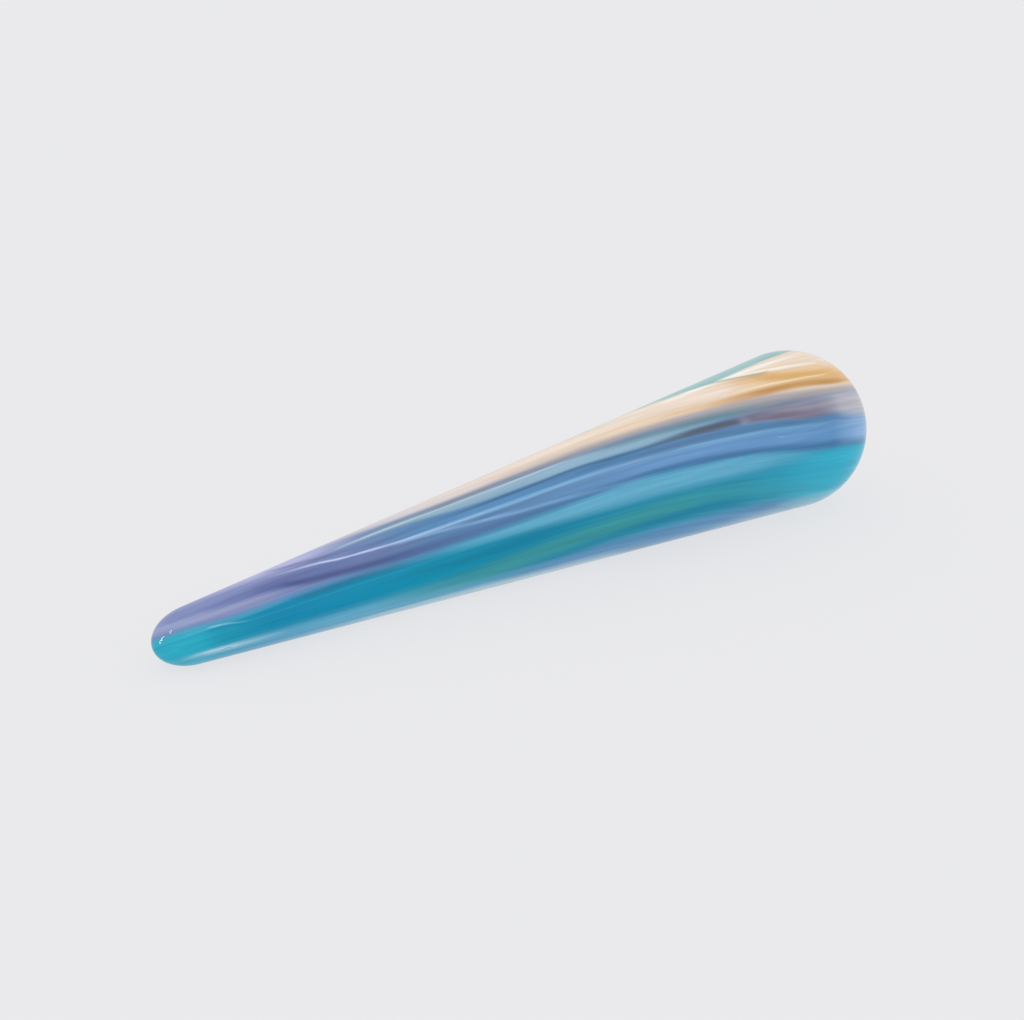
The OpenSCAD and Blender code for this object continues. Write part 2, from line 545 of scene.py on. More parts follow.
def handling_group() -> Tree:
    """Builds the group for smudges and fine scratches left by handling.

    Returns:
        The group, which puts out how smudged and how scratched a place is.
    """
    smudge_scale, smudge_range = 260.0, (0.45, 0.72)
    scratch_scale, scratch_range = (900.0, 5200.0, 3800.0), (0.64, 0.72)
    graph, given, result = new_group("handling", ("Vector", "Amount"), ("Smudge", "Scratch"))
    smudge = graph.spread(graph.noise(given["Vector"], smudge_scale, 4.0, 0.6), *smudge_range)
    stretched = graph.vector("MULTIPLY", given["Vector"], scratch_scale).outputs[0]
    scratch = graph.spread(graph.noise(stretched, 1.0, 2.0), *scratch_range)
    graph.feed(result["Smudge"], graph.math("MULTIPLY", smudge, given["Amount"]))
    graph.feed(result["Scratch"], graph.math("MULTIPLY", scratch, given["Amount"]))
    return graph.tree


# ---------------------------------------------------------------- marbling


@dataclass(frozen=True)
class Ribbon:
    """A ribbon of colour that runs along the barrel: coloured glass in most, a painted highlight or
    painted reflection in a few.

    Places along the barrel are from the centre of the wide end, towards the tail
    when negative. Places across it run from -1 at the top edge to 1 at the bottom one.

    Attributes:
        name: what the ribbon is.
        colour: six-digit colour code.
        top: place across of its upper edge, along the barrel.
        bottom: place across of its lower edge, along the barrel.
        strength: how strongly it shows, along the barrel.
        soft: width across over which each edge fades.
    """

    name: str
    colour: str
    top: Track
    bottom: Track
    strength: Track
    soft: float = 0.1


def line(
    name: str, colour: str, middle: Track, width: float, strength: Track, soft: float = 0.05
) -> Ribbon:
    """Makes a thin ribbon of one width.

    Args:
        name: what the ribbon is.
        colour: six-digit colour code.
        middle: place across of its middle, along the barrel.
        width: half its width.
        strength: how strongly it shows, along the barrel.
        soft: width across over which each edge fades.

    Returns:
        The ribbon.
    """
    top = tuple((along, across - width) for along, across in middle)
    bottom = tuple((along, across + width) for along, across in middle)
    return Ribbon(name, colour, top, bottom, strength, soft)


GROUND: tuple[tuple[float, str], ...] = (
    (-79, "1fa8c6"), (-75, "128fb2"), (-68, "108bb3"), (-58, "0c90b4"), (-48, "0a8eb0"),
    (-38, "1288aa"), (-28, "228eae"), (-18, "2890b0"), (-8, "2a92b2"), (2, "38a6c4"),
)

RIBBONS: tuple[Ribbon, ...] = (
    # the teal half
    Ribbon("tail_turquoise", "2db0c8", ((-82, -0.3), (-70, -0.1)), ((-82, 1.4), (-70, 1.3)),
           ((-82, 1), (-78, 0.85), (-75, 0.35), (-69, 0)), 0.3),
    line("bay_light", "5cb4d2", ((-78, -0.1), (-75, -0.08), (-71, -0.09), (-67, -0.12)), 0.1,
         ((-79, 0), (-75.5, 0.4), (-71, 0.4), (-66, 0))),
    Ribbon("lower_haze", "78b8d6", ((-80, 0.64), (-60, 0.66), (-50, 0.7), (-44, 0.78), (-34, 0.86)),
           ((-80, 1.6), (-34, 1.6)), ((-82, 0.1), (-76, 0.35), (-65, 0.6), (-58, 0.7), (-50, 0.65),
           (-42, 0.6), (-36, 0.3), (-30, 0)), 0.3),
    line("green_streak", "3f9a9e", ((-52, 0.72), (-45, 0.68), (-40, 0.64), (-34, 0.58),
         (-28, 0.545), (-20, 0.53), (-15, 0.56), (-10, 0.64), (-5, 0.76), (0, 0.88)), 0.13,
         ((-58, 0), (-47, 0.6), (-38, 0.85), (-25, 0.8), (-15, 0.55), (-6, 0.4), (2, 0.2)), 0.2),
    line("deep_teal", "137a98", ((-52, 0.3), (-46, 0.36), (-42, 0.36), (-36, 0.31), (-30, 0.32),
         (-22, 0.36)), 0.06, ((-54, 0), (-44, 0.6), (-34, 0.35), (-24, 0.1), (-16, 0)), 0.16),
    line("teal_shadow", "246d8e", ((-66, 0.0), (-60, 0.0), (-56, 0.02), (-50, 0.06)), 0.07,
         ((-67, 0), (-61, 0.7), (-57, 0.75), (-53, 0.4), (-48, 0)), 0.16),
    line("under_green", "1a84a2", ((-36, 0.76), (-30, 0.7), (-24, 0.67), (-18, 0.67), (-12, 0.72),
         (-6, 0.8)), 0.05, ((-40, 0), (-30, 0.6), (-18, 0.9), (-10, 0.5), (-4, 0)), 0.1),
    Ribbon("lower_lilac", "6395c2", ((-46, 0.88), (-36, 0.82), (-28, 0.78), (-15, 0.8), (-6, 0.85),
           (0, 0.95)), ((-46, 1.4), (0, 1.4)), ((-52, 0), (-42, 0.4), (-34, 0.85), (-10, 0.85),
           (-4, 0.5), (2, 0)), 0.14),
    Ribbon("end_cyan", "39b4d0", ((-8, 0.4), (-2, 0.43), (3, 0.46), (9, 0.5)), ((-8, 0.8), (0, 1.1),
           (9, 1.4)), ((-14, 0), (-7, 0.35), (-2, 0.75), (2, 0.95), (9, 1)), 0.2),
    Ribbon("waterline_light", "68b2d0", ((-58, -0.05), (-46, 0.0), (-38, 0.0), (-30, -0.02),
           (-20, 0.03), (-12, 0.12), (-6, 0.24), (-1, 0.36)), ((-58, 0.02), (-48, 0.12),
           (-40, 0.18), (-32, 0.24), (-24, 0.28), (-16, 0.33), (-8, 0.4), (-1, 0.46)), ((-60, 0),
           (-50, 0.4), (-40, 0.9), (-15, 0.95), (-7, 0.6), (-1, 0)), 0.18),
    # the blue half
    Ribbon("violet_field", "7b8abf", ((-82, -1.9), (-40, -1.9)), ((-82, -0.25), (-78, -0.24),
           (-74, -0.15), (-70, -0.13), (-65, -0.12), (-60, -0.1), (-54, -0.03), (-50, 0.01),
           (-44, 0.02)), ((-82, 1), (-60, 1), (-52, 0.6), (-44, 0)), 0.3),
    Ribbon("blue_field", "5987b3", ((-70, -1.9), (9, -1.9)), ((-64, -0.16), (-58, -0.1),
           (-50, -0.01), (-44, 0.0), (-40, 0.0), (-32, 0.0), (-26, -0.02), (-20, 0.03), (-16, 0.08),
           (-12, 0.15), (-8, 0.23), (-4, 0.325), (0, 0.4), (4, 0.45), (9, 0.5)), ((-66, 0),
           (-58, 0.4), (-50, 0.85), (-44, 1), (9, 1)), 0.12),
    line("tail_haze", "a0aacf", ((-82, -0.5), (-78, -0.47), (-74, -0.4), (-70, -0.35),
         (-66, -0.31)), 0.13, ((-82, 0.9), (-76, 0.8), (-70, 0.5), (-66.5, 0.1), (-64, 0)), 0.26),
    line("blush", "a29fc2", ((-75, -0.42), (-71, -0.37), (-68, -0.34), (-66, -0.31)), 0.05,
         ((-78, 0), (-72, 0.6), (-69, 0.5), (-67, 0.1), (-66, 0)), 0.14),
    line("upper_lilac", "b3b5e4", ((-74, -1.02), (-70, -0.98), (-66, -0.95), (-62, -0.92),
         (-58, -0.9)), 0.1, ((-76, 0), (-70, 0.6), (-65, 0.85), (-60, 0.5), (-56, 0)), 0.16),
    Ribbon("violet_shade", "6d79ad", ((-74, -0.66), (-68, -0.72), (-62, -0.64), (-56, -0.52),
           (-50, -0.44)), ((-74, -0.5), (-68, -0.42), (-62, -0.34), (-56, -0.26), (-50, -0.2)),
           ((-76, 0), (-68, 0.8), (-58, 0.7), (-48, 0)), 0.16),
    line("deep_violet", "4b5a8e", ((-70, -0.56), (-67, -0.47), (-64, -0.34), (-61, -0.27),
         (-58, -0.2), (-54, -0.15), (-50, -0.12), (-46, -0.1), (-42, -0.08)), 0.08, ((-71, 0),
         (-67, 0.6), (-64, 0.95), (-58, 0.95), (-52, 0.75), (-46, 0.5), (-38, 0.2), (-32, 0)),
         0.15),
    line("violet_smoke", "5a6798", ((-69, -0.62), (-66, -0.58), (-62, -0.5), (-58, -0.44)), 0.05,
         ((-70, 0), (-66, 0.6), (-62, 0.4), (-58, 0)), 0.14),
    line("dark_mauve", "6d6f9e", ((-67, -0.93), (-64, -0.84), (-61, -0.74), (-58, -0.66),
         (-54, -0.58), (-50, -0.55)), 0.03, ((-68, 0), (-64, 0.7), (-58, 0.65), (-53, 0.4),
         (-48, 0)), 0.07),
    Ribbon("mid_blue", "5e92c4", ((-50, -0.52), (-40, -0.47), (-30, -0.44), (-22, -0.38),
           (-16, -0.33), (-10, -0.24)), ((-50, -0.4), (-40, -0.37), (-30, -0.35), (-22, -0.3),
           (-16, -0.23), (-10, -0.14)), ((-56, 0), (-46, 0.6), (-20, 0.5), (-8, 0)), 0.08),
    line("lower_branch", "8fbbe8", ((-52, -0.4), (-48, -0.33), (-44, -0.255), (-40, -0.185),
         (-36, -0.14), (-32, -0.09), (-28, -0.045), (-24, -0.01)), 0.028, ((-54, 0), (-49, 0.7),
         (-42, 0.65), (-34, 0.4), (-28, 0.35), (-22, 0)), 0.06),
    line("upper_branch", "8ac0e8", ((-52, -0.42), (-46, -0.385), (-40, -0.36), (-34, -0.35),
         (-28, -0.32), (-24, -0.29), (-20, -0.25), (-16, -0.19), (-12, -0.13), (-8, -0.07),
         (-4, 0.02), (0, 0.1)), 0.026, ((-54, 0), (-47, 0.75), (-38, 0.95), (-28, 0.85),
         (-12, 0.65), (-4, 0.4), (2, 0)), 0.07),
    Ribbon("periwinkle", "6d9dd0", ((-40, -0.3), (-30, -0.31), (-22, -0.26), (-16, -0.18),
           (-12, -0.11), (-8, -0.05), (-4, 0.04), (0, 0.11), (5, 0.16), (9, 0.18)), ((-40, -0.2),
           (-30, -0.13), (-22, -0.08), (-16, -0.02), (-10, 0.09), (-5, 0.2), (0, 0.3), (5, 0.38),
           (9, 0.42)), ((-44, 0), (-30, 0.35), (-18, 0.8), (-6, 0.8), (-1, 0.65), (3, 0.8),
           (9, 0.8)), 0.06),
    line("blue_edge", "3d70a2", ((-44, -0.1), (-34, -0.06), (-28, -0.05), (-24, -0.05),
         (-20, -0.01), (-16, 0.04), (-12, 0.11), (-8, 0.19), (-4, 0.29), (0, 0.36), (5, 0.41)),
         0.025, ((-46, 0), (-36, 0.4), (-26, 0.6), (-18, 0.9), (-5, 0.9), (1, 0.7), (5, 0.3)),
         0.08),
    Ribbon("sky_stripe", "94b6cb", ((-60, -0.84), (-52, -0.82), (-44, -0.76), (-36, -0.71),
           (-28, -0.66), (-20, -0.57), (-14, -0.49), (-9, -0.43)), ((-60, -0.78), (-52, -0.73),
           (-44, -0.6), (-36, -0.55), (-28, -0.51), (-20, -0.43), (-14, -0.41), (-9, -0.39)),
           ((-62, 0), (-54, 0.7), (-46, 0.85), (-26, 0.9), (-16, 0.6), (-8, 0)), 0.08),
    line("sky_edge", "c0d6e2", ((-58, -0.81), (-52, -0.78), (-46, -0.745), (-40, -0.715),
         (-34, -0.69), (-28, -0.65)), 0.015, ((-60, 0), (-54, 0.75), (-44, 0.8), (-34, 0.5),
         (-26, 0)), 0.035),
    line("deep_band", "4a7ba4", ((-30, -0.43), (-25, -0.37), (-20, -0.3), (-15, -0.25),
         (-10, -0.17), (-5, -0.07), (-1, 0.01)), 0.04, ((-32, 0), (-26, 0.6), (-15, 0.75),
         (-5, 0.6), (1, 0)), 0.08),
    line("sky_shade", "8291a6", ((-46, -0.77), (-40, -0.75), (-34, -0.74), (-28, -0.71)), 0.025,
         ((-48, 0), (-42, 0.6), (-32, 0.5), (-26, 0)), 0.06),
    line("slate_line", "3f6184", ((-48, -0.56), (-44, -0.54), (-36, -0.522), (-30, -0.505),
         (-26, -0.46), (-22, -0.42), (-18, -0.4)), 0.014, ((-50, 0), (-43, 0.6), (-34, 0.85),
         (-26, 0.8), (-20, 0.5), (-16, 0)), 0.05),
    line("white_ribbon", "ccd3f0", ((-67, -0.785), (-64, -0.714), (-62, -0.652), (-60, -0.57),
         (-58, -0.52), (-56, -0.478), (-54, -0.448), (-52, -0.424), (-48, -0.395)), 0.02, ((-68, 0),
         (-64, 0.6), (-61, 1), (-57, 0.9), (-52, 0.65), (-44, 0.2), (-40, 0)), 0.05),
    # the wide end
    Ribbon("slate_teal", "6d8f9b", ((-26, -0.64), (-20, -0.61), (-14, -0.57), (-9, -0.49),
           (-4, -0.41)), ((-26, -0.58), (-20, -0.53), (-14, -0.46), (-9, -0.38), (-4, -0.32)),
           ((-28, 0), (-20, 0.7), (-9, 0.85), (-5, 0.5), (-1, 0)), 0.07),
    Ribbon("end_mauve", "918fa0", ((-12, -0.42), (-6, -0.37), (-2, -0.27), (3, -0.2), (9, -0.14)),
           ((-12, -0.3), (-6, -0.16), (-2, -0.05), (3, 0.0), (9, 0.06)), ((-13, 0), (-7, 0.8),
           (-1, 0.95), (2, 0.6), (6, 0.3), (9, 0.2)), 0.1),
    line("brown_stripe_near", "5a616c", ((-22, -0.42), (-18, -0.405), (-14, -0.365), (-12, -0.34),
         (-10.2, -0.31)), 0.042, ((-23, 0), (-18, 0.6), (-13, 0.95), (-11, 0.8), (-9.8, 0)), 0.06),
    line("brown_stripe_end", "75697f", ((-10, -0.3), (-8, -0.27), (-6, -0.21), (-4, -0.15),
         (-2, -0.09), (1, -0.04)), 0.05, ((-10, 0), (-9, 0.9), (-6, 0.85), (-2, 0.6), (2, 0)),
         0.07),
    line("stripe_glint", "8a93aa", ((-11, -0.3), (-10, -0.28), (-9, -0.27)), 0.04, ((-10.6, 0),
         (-9.9, 0.7), (-9.2, 0)), 0.06),
    Ribbon("pink_white", "ddd2d2", ((-64, -1.9), (-36, -1.9)), ((-62, -1.0), (-56, -0.94),
           (-50, -0.87), (-44, -0.83), (-36, -0.8), (-28, -0.76)), ((-62, 0), (-55, 0.75),
           (-47, 0.9), (-38, 1), (-28, 0.5), (-22, 0)), 0.1),
    Ribbon("cream", "e8d5c0", ((-50, -1.9), (9, -1.9)), ((-46, -0.9), (-38, -0.85), (-30, -0.79),
           (-24, -0.72), (-18, -0.66), (-12, -0.58), (-7, -0.5), (-2, -0.38), (3, -0.27),
           (9, -0.2)), ((-52, 0), (-40, 0.55), (-30, 0.9), (-20, 1), (9, 1)), 0.14),
    line("cream_shade", "8b909c", ((-60, -0.93), (-52, -0.85), (-44, -0.79), (-36, -0.76),
         (-30, -0.72), (-26, -0.68)), 0.02, ((-62, 0), (-52, 0.4), (-42, 0.7), (-34, 0.8),
         (-28, 0.6), (-22, 0)), 0.06),
    line("beige", "b6a7a2", ((-38, -0.83), (-30, -0.77), (-24, -0.71), (-18, -0.64), (-13, -0.57),
         (-9, -0.5), (-5, -0.42), (0, -0.3), (5, -0.23)), 0.045, ((-44, 0), (-36, 0.35), (-26, 0.6),
         (-15, 0.65), (-5, 0.8), (2, 0.7), (9, 0.5)), 0.12),
    line("rose_white", "f6e6da", ((-34, -0.95), (-24, -0.93), (-16, -0.87), (-11, -0.8),
         (-7, -0.74), (-3, -0.66)), 0.05, ((-40, 0), (-30, 0.4), (-18, 0.5), (-11, 0.9), (-6, 0.6),
         (-2, 0)), 0.12),
    line("peach", "e6bd90", ((-26, -0.87), (-18, -0.75), (-12, -0.66), (-7, -0.6), (-3, -0.56)),
         0.03, ((-30, 0), (-20, 0.3), (-11, 0.7), (-5, 0.7), (0, 0.2)), 0.06),
    line("gold_upper", "cf9b48", ((-8, -0.82), (-6, -0.78), (-4, -0.71), (-2, -0.63), (0, -0.565),
         (3, -0.5), (6, -0.45), (9, -0.42)), 0.055, ((-9, 0), (-6, 0.55), (-3, 0.95), (2, 1),
         (9, 0.9)), 0.09),
    line("gold_lower", "bf8a4b", ((-12, -0.64), (-8, -0.595), (-5, -0.55), (-2, -0.5), (0, -0.455),
         (3, -0.39), (9, -0.34)), 0.045, ((-14, 0), (-8, 0.6), (-3, 0.95), (3, 0.95), (9, 0.7)),
         0.06),
    line("gold_haze", "e8bd84", ((-8, -0.76), (-5, -0.7), (-2, -0.62), (2, -0.55), (5, -0.46),
         (9, -0.4)), 0.11, ((-10, 0), (-5, 0.55), (0, 0.65), (2, 0.7), (9, 0.9)), 0.18),
    line("gold_gleam", "f6e3c2", ((-10, -0.7), (-6, -0.65), (-2, -0.57), (2, -0.5)), 0.012,
         ((-12, 0), (-7, 0.7), (-2, 0.8), (3, 0)), 0.025),
    line("white_streak_a", "fdf3e6", ((-8, -0.9), (-5, -0.84), (-2, -0.76), (1, -0.7), (3, -0.67)),
         0.015, ((-9, 0), (-5, 0.8), (-1, 0.9), (3, 0)), 0.03),
    line("white_streak_b", "f9f7f2", ((-15, -0.93), (-11, -0.92), (-7, -0.9), (-3, -0.87),
         (1, -0.84)), 0.02, ((-17, 0), (-11, 0.8), (-5, 0.95), (1, 0.3), (4, 0)), 0.04),
    line("green_hair", "93ab9c", ((-13, -0.98), (-10, -0.935), (-8, -0.885), (-6, -0.83),
         (-4, -0.78)), 0.012, ((-14, 0), (-10, 0.7), (-6, 0.8), (-3, 0)), 0.03),
    Ribbon("aqua_sliver", "8cbcbe", ((-26, -1.9), (8, -1.9)), ((-26, -1.0), (-18, -0.98),
           (-12, -0.94), (-4, -0.92), (2, -0.92), (8, -0.94)), ((-27, 0), (-19, 0.5), (-12, 1),
           (2, 1), (5, 0)), 0.03),
    line("far_cream", "efe3d0", ((-24, -1.09), (-14, -1.07), (-4, -1.06), (6, -1.08)), 0.012,
         ((-24, 0), (-12, 0.7), (2, 0.8), (8, 0)), 0.03),
    line("far_gold", "cfa25a", ((-22, -1.12), (-12, -1.1), (-2, -1.09), (7, -1.11)), 0.01,
         ((-22, 0), (-10, 0.7), (2, 0.8), (8, 0)), 0.025),
    line("far_teal", "3f96a4", ((-24, -1.2), (-14, -1.18), (-4, -1.17), (8, -1.18)), 0.05,
         ((-24, 0), (-10, 0.6), (4, 0.7), (9, 0.3)), 0.06),
    # painted reflection: a pale streak of reflected light on the tail's lower side
    line("lower_sheen", "bfe6f4", ((-79, 0.68), (-76, 0.72), (-73, 0.74), (-70, 0.75), (-67, 0.76)),
         0.06, ((-79.5, 0), (-77, 0.55), (-75.2, 0.85), (-73, 0.6), (-70, 0.3), (-67, 0)), 0.14),
    # painted reflection: the dark wiggle inside that reflected streak
    line("sheen_crack", "4b93ae", ((-75, 0.74), (-74.4, 0.78), (-74, 0.74), (-73.5, 0.79)), 0.014,
         ((-75, 0), (-74.5, 0.7), (-73.9, 0.8), (-73.4, 0)), 0.03),
    # painted highlight: a pale diagonal gleam of light on the tail
    line("tail_gleam", "98d2ea", ((-76, -0.05), (-75, -0.02), (-74, 0.02), (-73, 0.08),
         (-71.5, 0.16)), 0.02, ((-76.2, 0), (-75.2, 0.85), (-74.2, 0.7), (-72.5, 0.3), (-71, 0)),
         0.06),
    line("bay_shadow", "1482a6", ((-76, 0.06), (-75, 0.08), (-73.5, 0.12), (-72, 0.22)), 0.03,
         ((-76.5, 0), (-75, 0.5), (-73, 0.5), (-71, 0)), 0.08),
    line("seed", "94b9e0", ((-7.2, 0.02), (-6.6, 0.07), (-6.2, 0.03), (-5.8, 0.08)), 0.008,
         ((-7.2, 0), (-6.8, 0.7), (-6.2, 0.7), (-5.8, 0)), 0.02),
    Ribbon("end_pale", "c2c0c8", ((-1, -0.27), (5, -0.18), (9, -0.16)), ((-1, -0.08), (3, 0.08),
           (6, 0.15), (9, 0.2)), ((-1, 0), (1, 0.3), (3, 0.8), (9, 0.95)), 0.14),
    Ribbon("end_blue", "94b8e0", ((0, 0.08), (9, 0.12)), ((0, 0.38), (9, 0.46)), ((0, 0), (3, 0.55),
           (5, 0.75), (9, 0.8)), 0.1),
    line("end_hair", "6a78a8", ((0, 0.05), (3, 0.13), (6, 0.17)), 0.006, ((-1, 0), (1, 0.5),
         (5, 0.7), (7, 0)), 0.02),
    # painted reflection: a pale band of reflected light along the lower edge
    Ribbon("bottom_pale", "b4d3de", ((-82, 0.92), (-10, 0.93), (-4, 0.9), (3, 0.92), (9, 0.9)),
           ((-82, 1.9), (9, 1.9)), ((-82, 0), (-70, 0.15), (-60, 0.4), (-54, 0.85), (-38, 0.85),
           (-30, 0.7), (-25, 0.25), (-18, 0.1), (-12, 0.3), (-2, 0.4), (9, 0.4)), 0.1),
)

DRIFT: Track = ((-82, 0.0), (-30, 0.02), (-20, 0.08), (-10, 0.22), (0, 0.38), (9, 0.48))


@dataclass
class Marbling:
    """Lengthwise ribbons of coloured glass with a few painted highlights and reflections among
    them, and the streaks drawn out with them.

    Attributes:
        pen: the pen's sizes.
        turned: how far the ribbons' slab is turned about the axis, in degrees.
        start: place along the barrel where the ribbons' tracks start.
        end: place along the barrel where they end.
        reach: place across the glass that the tracks can reach.
        behind: how far the ribbons shift on the far side of the glass.
        fine: how often a fine streak changes, along the barrel and across it.
        slow: the same for the slow waves.
        sway: how far the streaks and the waves push a ribbon's edges across.
        stray: how far they carry its tracks along, as a share of that.
        group: the node group that lays a ribbon.
    """

    pen: Pen
    turned: float = 30.2
    start: float = -82.0
    end: float = 10.0
    reach: float = 2.0
    behind: float = 0.3
    fine: Point = (0.035, 11.0)
    slow: Point = (0.05, 2.0)
    sway: Point = (0.05, 0.03)
    stray: float = 0.05
    group: Tree = field(default_factory=ribbon_group)

    def share(self, along: float) -> float:
        """Place along the barrel as a share of the tracks' length."""
        return (along - self.start) / (self.end - self.start)

    def follow(self, graph: Graph, station: Socket, *tracks: tuple[Track, float]) -> Socket:
        """Adds one curve node that follows up to three tracks at once.

        Args:
            graph: the material's nodes.
            station: place along the barrel three times over, 0 at the start and 1 at the end.
            tracks: each track, with the value that its curve holds as 1.

        Returns:
            The values as a vector, each between -1 and 1.
        """
        node = graph.add("VectorCurve")
        node.mapping.extend = "HORIZONTAL"
        for curve, (track, full) in zip(node.mapping.curves, tracks):
            scaled = [(self.share(along), value / full) for along, value in track]
            curve.points[0].location, curve.points[-1].location = scaled[0], scaled[-1]
            for place in scaled[1:-1]:
                curve.points.new(*place)
            for point in curve.points:
                point.handle_type = "AUTO_CLAMPED"
        node.mapping.update()
        graph.feed(node.inputs["Vector"], station)
        return node.outputs[0]

    def places(self, graph: Graph) -> tuple[Socket, Socket, Socket]:
        """Finds where a point is in the glass.

        Args:
            graph: the material's nodes.

        Returns:
            Millimetres along the barrel, the place across it, and the place through it.
        """
        pen, turned = self.pen, math.radians(self.turned)
        down = Vector((math.sin(pen.lean), 0, -math.cos(pen.lean)))
        side = Vector((0, -1, 0))
        across_way = down * math.cos(turned) + side * math.sin(turned)
        through_way = side * math.cos(turned) - down * math.sin(turned)
        local = graph.vector("SUBTRACT", graph.here, pen.dome_centre).outputs[0]
        along, across, through = (
            graph.math("MULTIPLY", graph.vector("DOT_PRODUCT", local, way).outputs["Value"], 1 / MM)
            for way in (pen.axis, across_way, through_way)
        )
        thin_end = pen.dome_r - pen.tail_z - pen.tail_r * math.sin(pen.lean)
        thick_end = -pen.dome_r * math.sin(pen.lean)
        girth = graph.spread(along, thin_end, thick_end, pen.tail_r, pen.dome_r)
        return along, graph.math("DIVIDE", across, girth), graph.math("DIVIDE", through, girth)

    def ground(self, graph: Graph, station: Socket) -> Socket:
        """Adds the teal glass that the ribbons lie in.

        Args:
            graph: the material's nodes.
            station: place along the barrel, 0 at the start and 1 at the end.

        Returns:
            Its colour.
        """
        node = graph.add("ValToRGB")
        stops = node.color_ramp.elements
        for i, (along, code) in enumerate(GROUND):
            spot = self.share(along)
            stop = stops[i] if i < 2 else stops.new(spot)
            stop.position, stop.color = spot, (*linear(code), 1.0)
        graph.feed(node.inputs[0], station)
        return node.outputs[0]

    def colour(self, graph: Graph) -> tuple[Socket, Socket]:
        """Lays every ribbon over the teal ground.

        Args:
            graph: the material's nodes.

        Returns:
            The colour, and the fine streaks that run with it.
        """
        along, across, through = self.places(graph)
        station = graph.spread(along, self.start, self.end)
        flow = graph.split(self.follow(graph, graph.join(station, station, station), (DRIFT, 1.0)))
        level = graph.math("SUBTRACT", across, flow[0])
        streaks_at, waves_at = (
            graph.join(
                graph.math("MULTIPLY", along, lengthwise),
                graph.math("MULTIPLY", level, crosswise),
                through,
            )
            for lengthwise, crosswise in (self.fine, self.slow)
        )
        streaks = graph.noise(streaks_at, 2.0, 5.0, 0.64)
        waves = graph.noise(waves_at, 1.0, 2.0)
        pushes = [
            graph.math("MULTIPLY", graph.math("SUBTRACT", value, 0.5), push)
            for value, push in zip((streaks, waves), self.sway)
        ]
        wander = graph.math("ADD", *pushes)
        turned_away = graph.math("MULTIPLY", graph.math("MINIMUM", through, 0.0), self.behind)
        place = graph.math("ADD", graph.math("ADD", across, wander), turned_away)
        place = graph.spread(place, -self.reach, self.reach, -1.0, 1.0)
        # the tracks stray too, so every curve is worked out just before its own ribbon
        stray = graph.math("ADD", station, graph.math("MULTIPLY", wander, self.stray))
        stations = graph.join(stray, stray, stray)
        colour = self.ground(graph, station)
        for ribbon in RIBBONS:
            edges = (ribbon.top, self.reach), (ribbon.bottom, self.reach)
            tracks = self.follow(graph, stations, *edges, (ribbon.strength, 1.0))
            node = graph.add("Group", node_tree=self.group, label=ribbon.name)
            graph.feed_all(node, Across=place, Tracks=tracks, Softness=ribbon.soft / self.reach)
            colour = graph.mix(node.outputs["Mask"], colour, linear(ribbon.colour))
        return colour, streaks


# ---------------------------------------------------------------- finishes


@dataclass(frozen=True)
class Finish:
    """How a material answers light.

    Attributes:
        name: the material's name.
        roughness: of the surface.
        metallic: 1 for a metal.
        transmission: 1 for clear glass.
        ior: index of refraction.
        specular: how much of the reflection shows, 0.5 being all of it.
        subsurface: weight of light scattered under the surface.
        scatter: how far that light goes.
        relief: strength and depth of its relief.
    """

    name: str
    roughness: float = 0.3
    metallic: float = 0.0
    transmission: float = 0.0
    ior: float = 1.5
    specular: float = 0.5
    subsurface: float = 0.0
    scatter: float = 0.4
    relief: Point = (0.25, 0.3)

    def start(self) -> tuple[bpy.types.Material, Graph, bpy.types.Node]:
        """Makes the material and sets its shader.

        Returns:
            The material, its nodes, and the shader.
        """
        material = bpy.data.materials.new(self.name)
        material.use_nodes = True
        graph = Graph(material.node_tree)
        shader = graph.feed_all(
            material.node_tree.nodes["Principled BSDF"],
            Roughness=self.roughness,
            Metallic=self.metallic,
            Transmission_Weight=self.transmission,
            IOR=self.ior,
            Specular_IOR_Level=self.specular,
            Subsurface_Weight=self.subsurface,
            Subsurface_Scale=self.scatter * MM,
        )
        return material, graph, shader

    def marks(self, graph: Graph, handling: Tree, amount: float = 1.0) -> tuple[Socket, ...]:
        """Adds what handling leaves on the surface.

        Args:
            graph: the material's nodes.
            handling: the group for smudges and scratches.
            amount: how much it shows.

        Returns:
            Where a point is, and how smudged and how scratched it is there.
        """
        here = graph.here
        node = graph.add("Group", node_tree=handling)
        marks = graph.feed_all(node, Vector=here, Amount=amount).outputs
        return here, marks["Smudge"], marks["Scratch"]

    def surface(self, graph: Graph, marbling: Marbling, handling: Tree) -> tuple[Socket, ...]:
        """Adds the nodes of one kind of finish.

        Args:
            graph: the material's nodes.
            marbling: the pen's ribbons.
            handling: the group for smudges and scratches.

        Returns:
            Its colour, roughness and height, all changing over the surface.
        """
        raise NotImplementedError

    def make(self, marbling: Marbling, handling: Tree) -> bpy.types.Material:
        """Makes the material.

        Args:
            marbling: the pen's ribbons.
            handling: the group for smudges and scratches.

        Returns:
            The material.
        """
        material, graph, shader = self.start()
        colour, rough, height = self.surface(graph, marbling, handling)
        normal = graph.bump(height, *self.relief)
        graph.feed_all(shader, Base_Color=colour, Roughness=rough, Normal=normal)
        return material


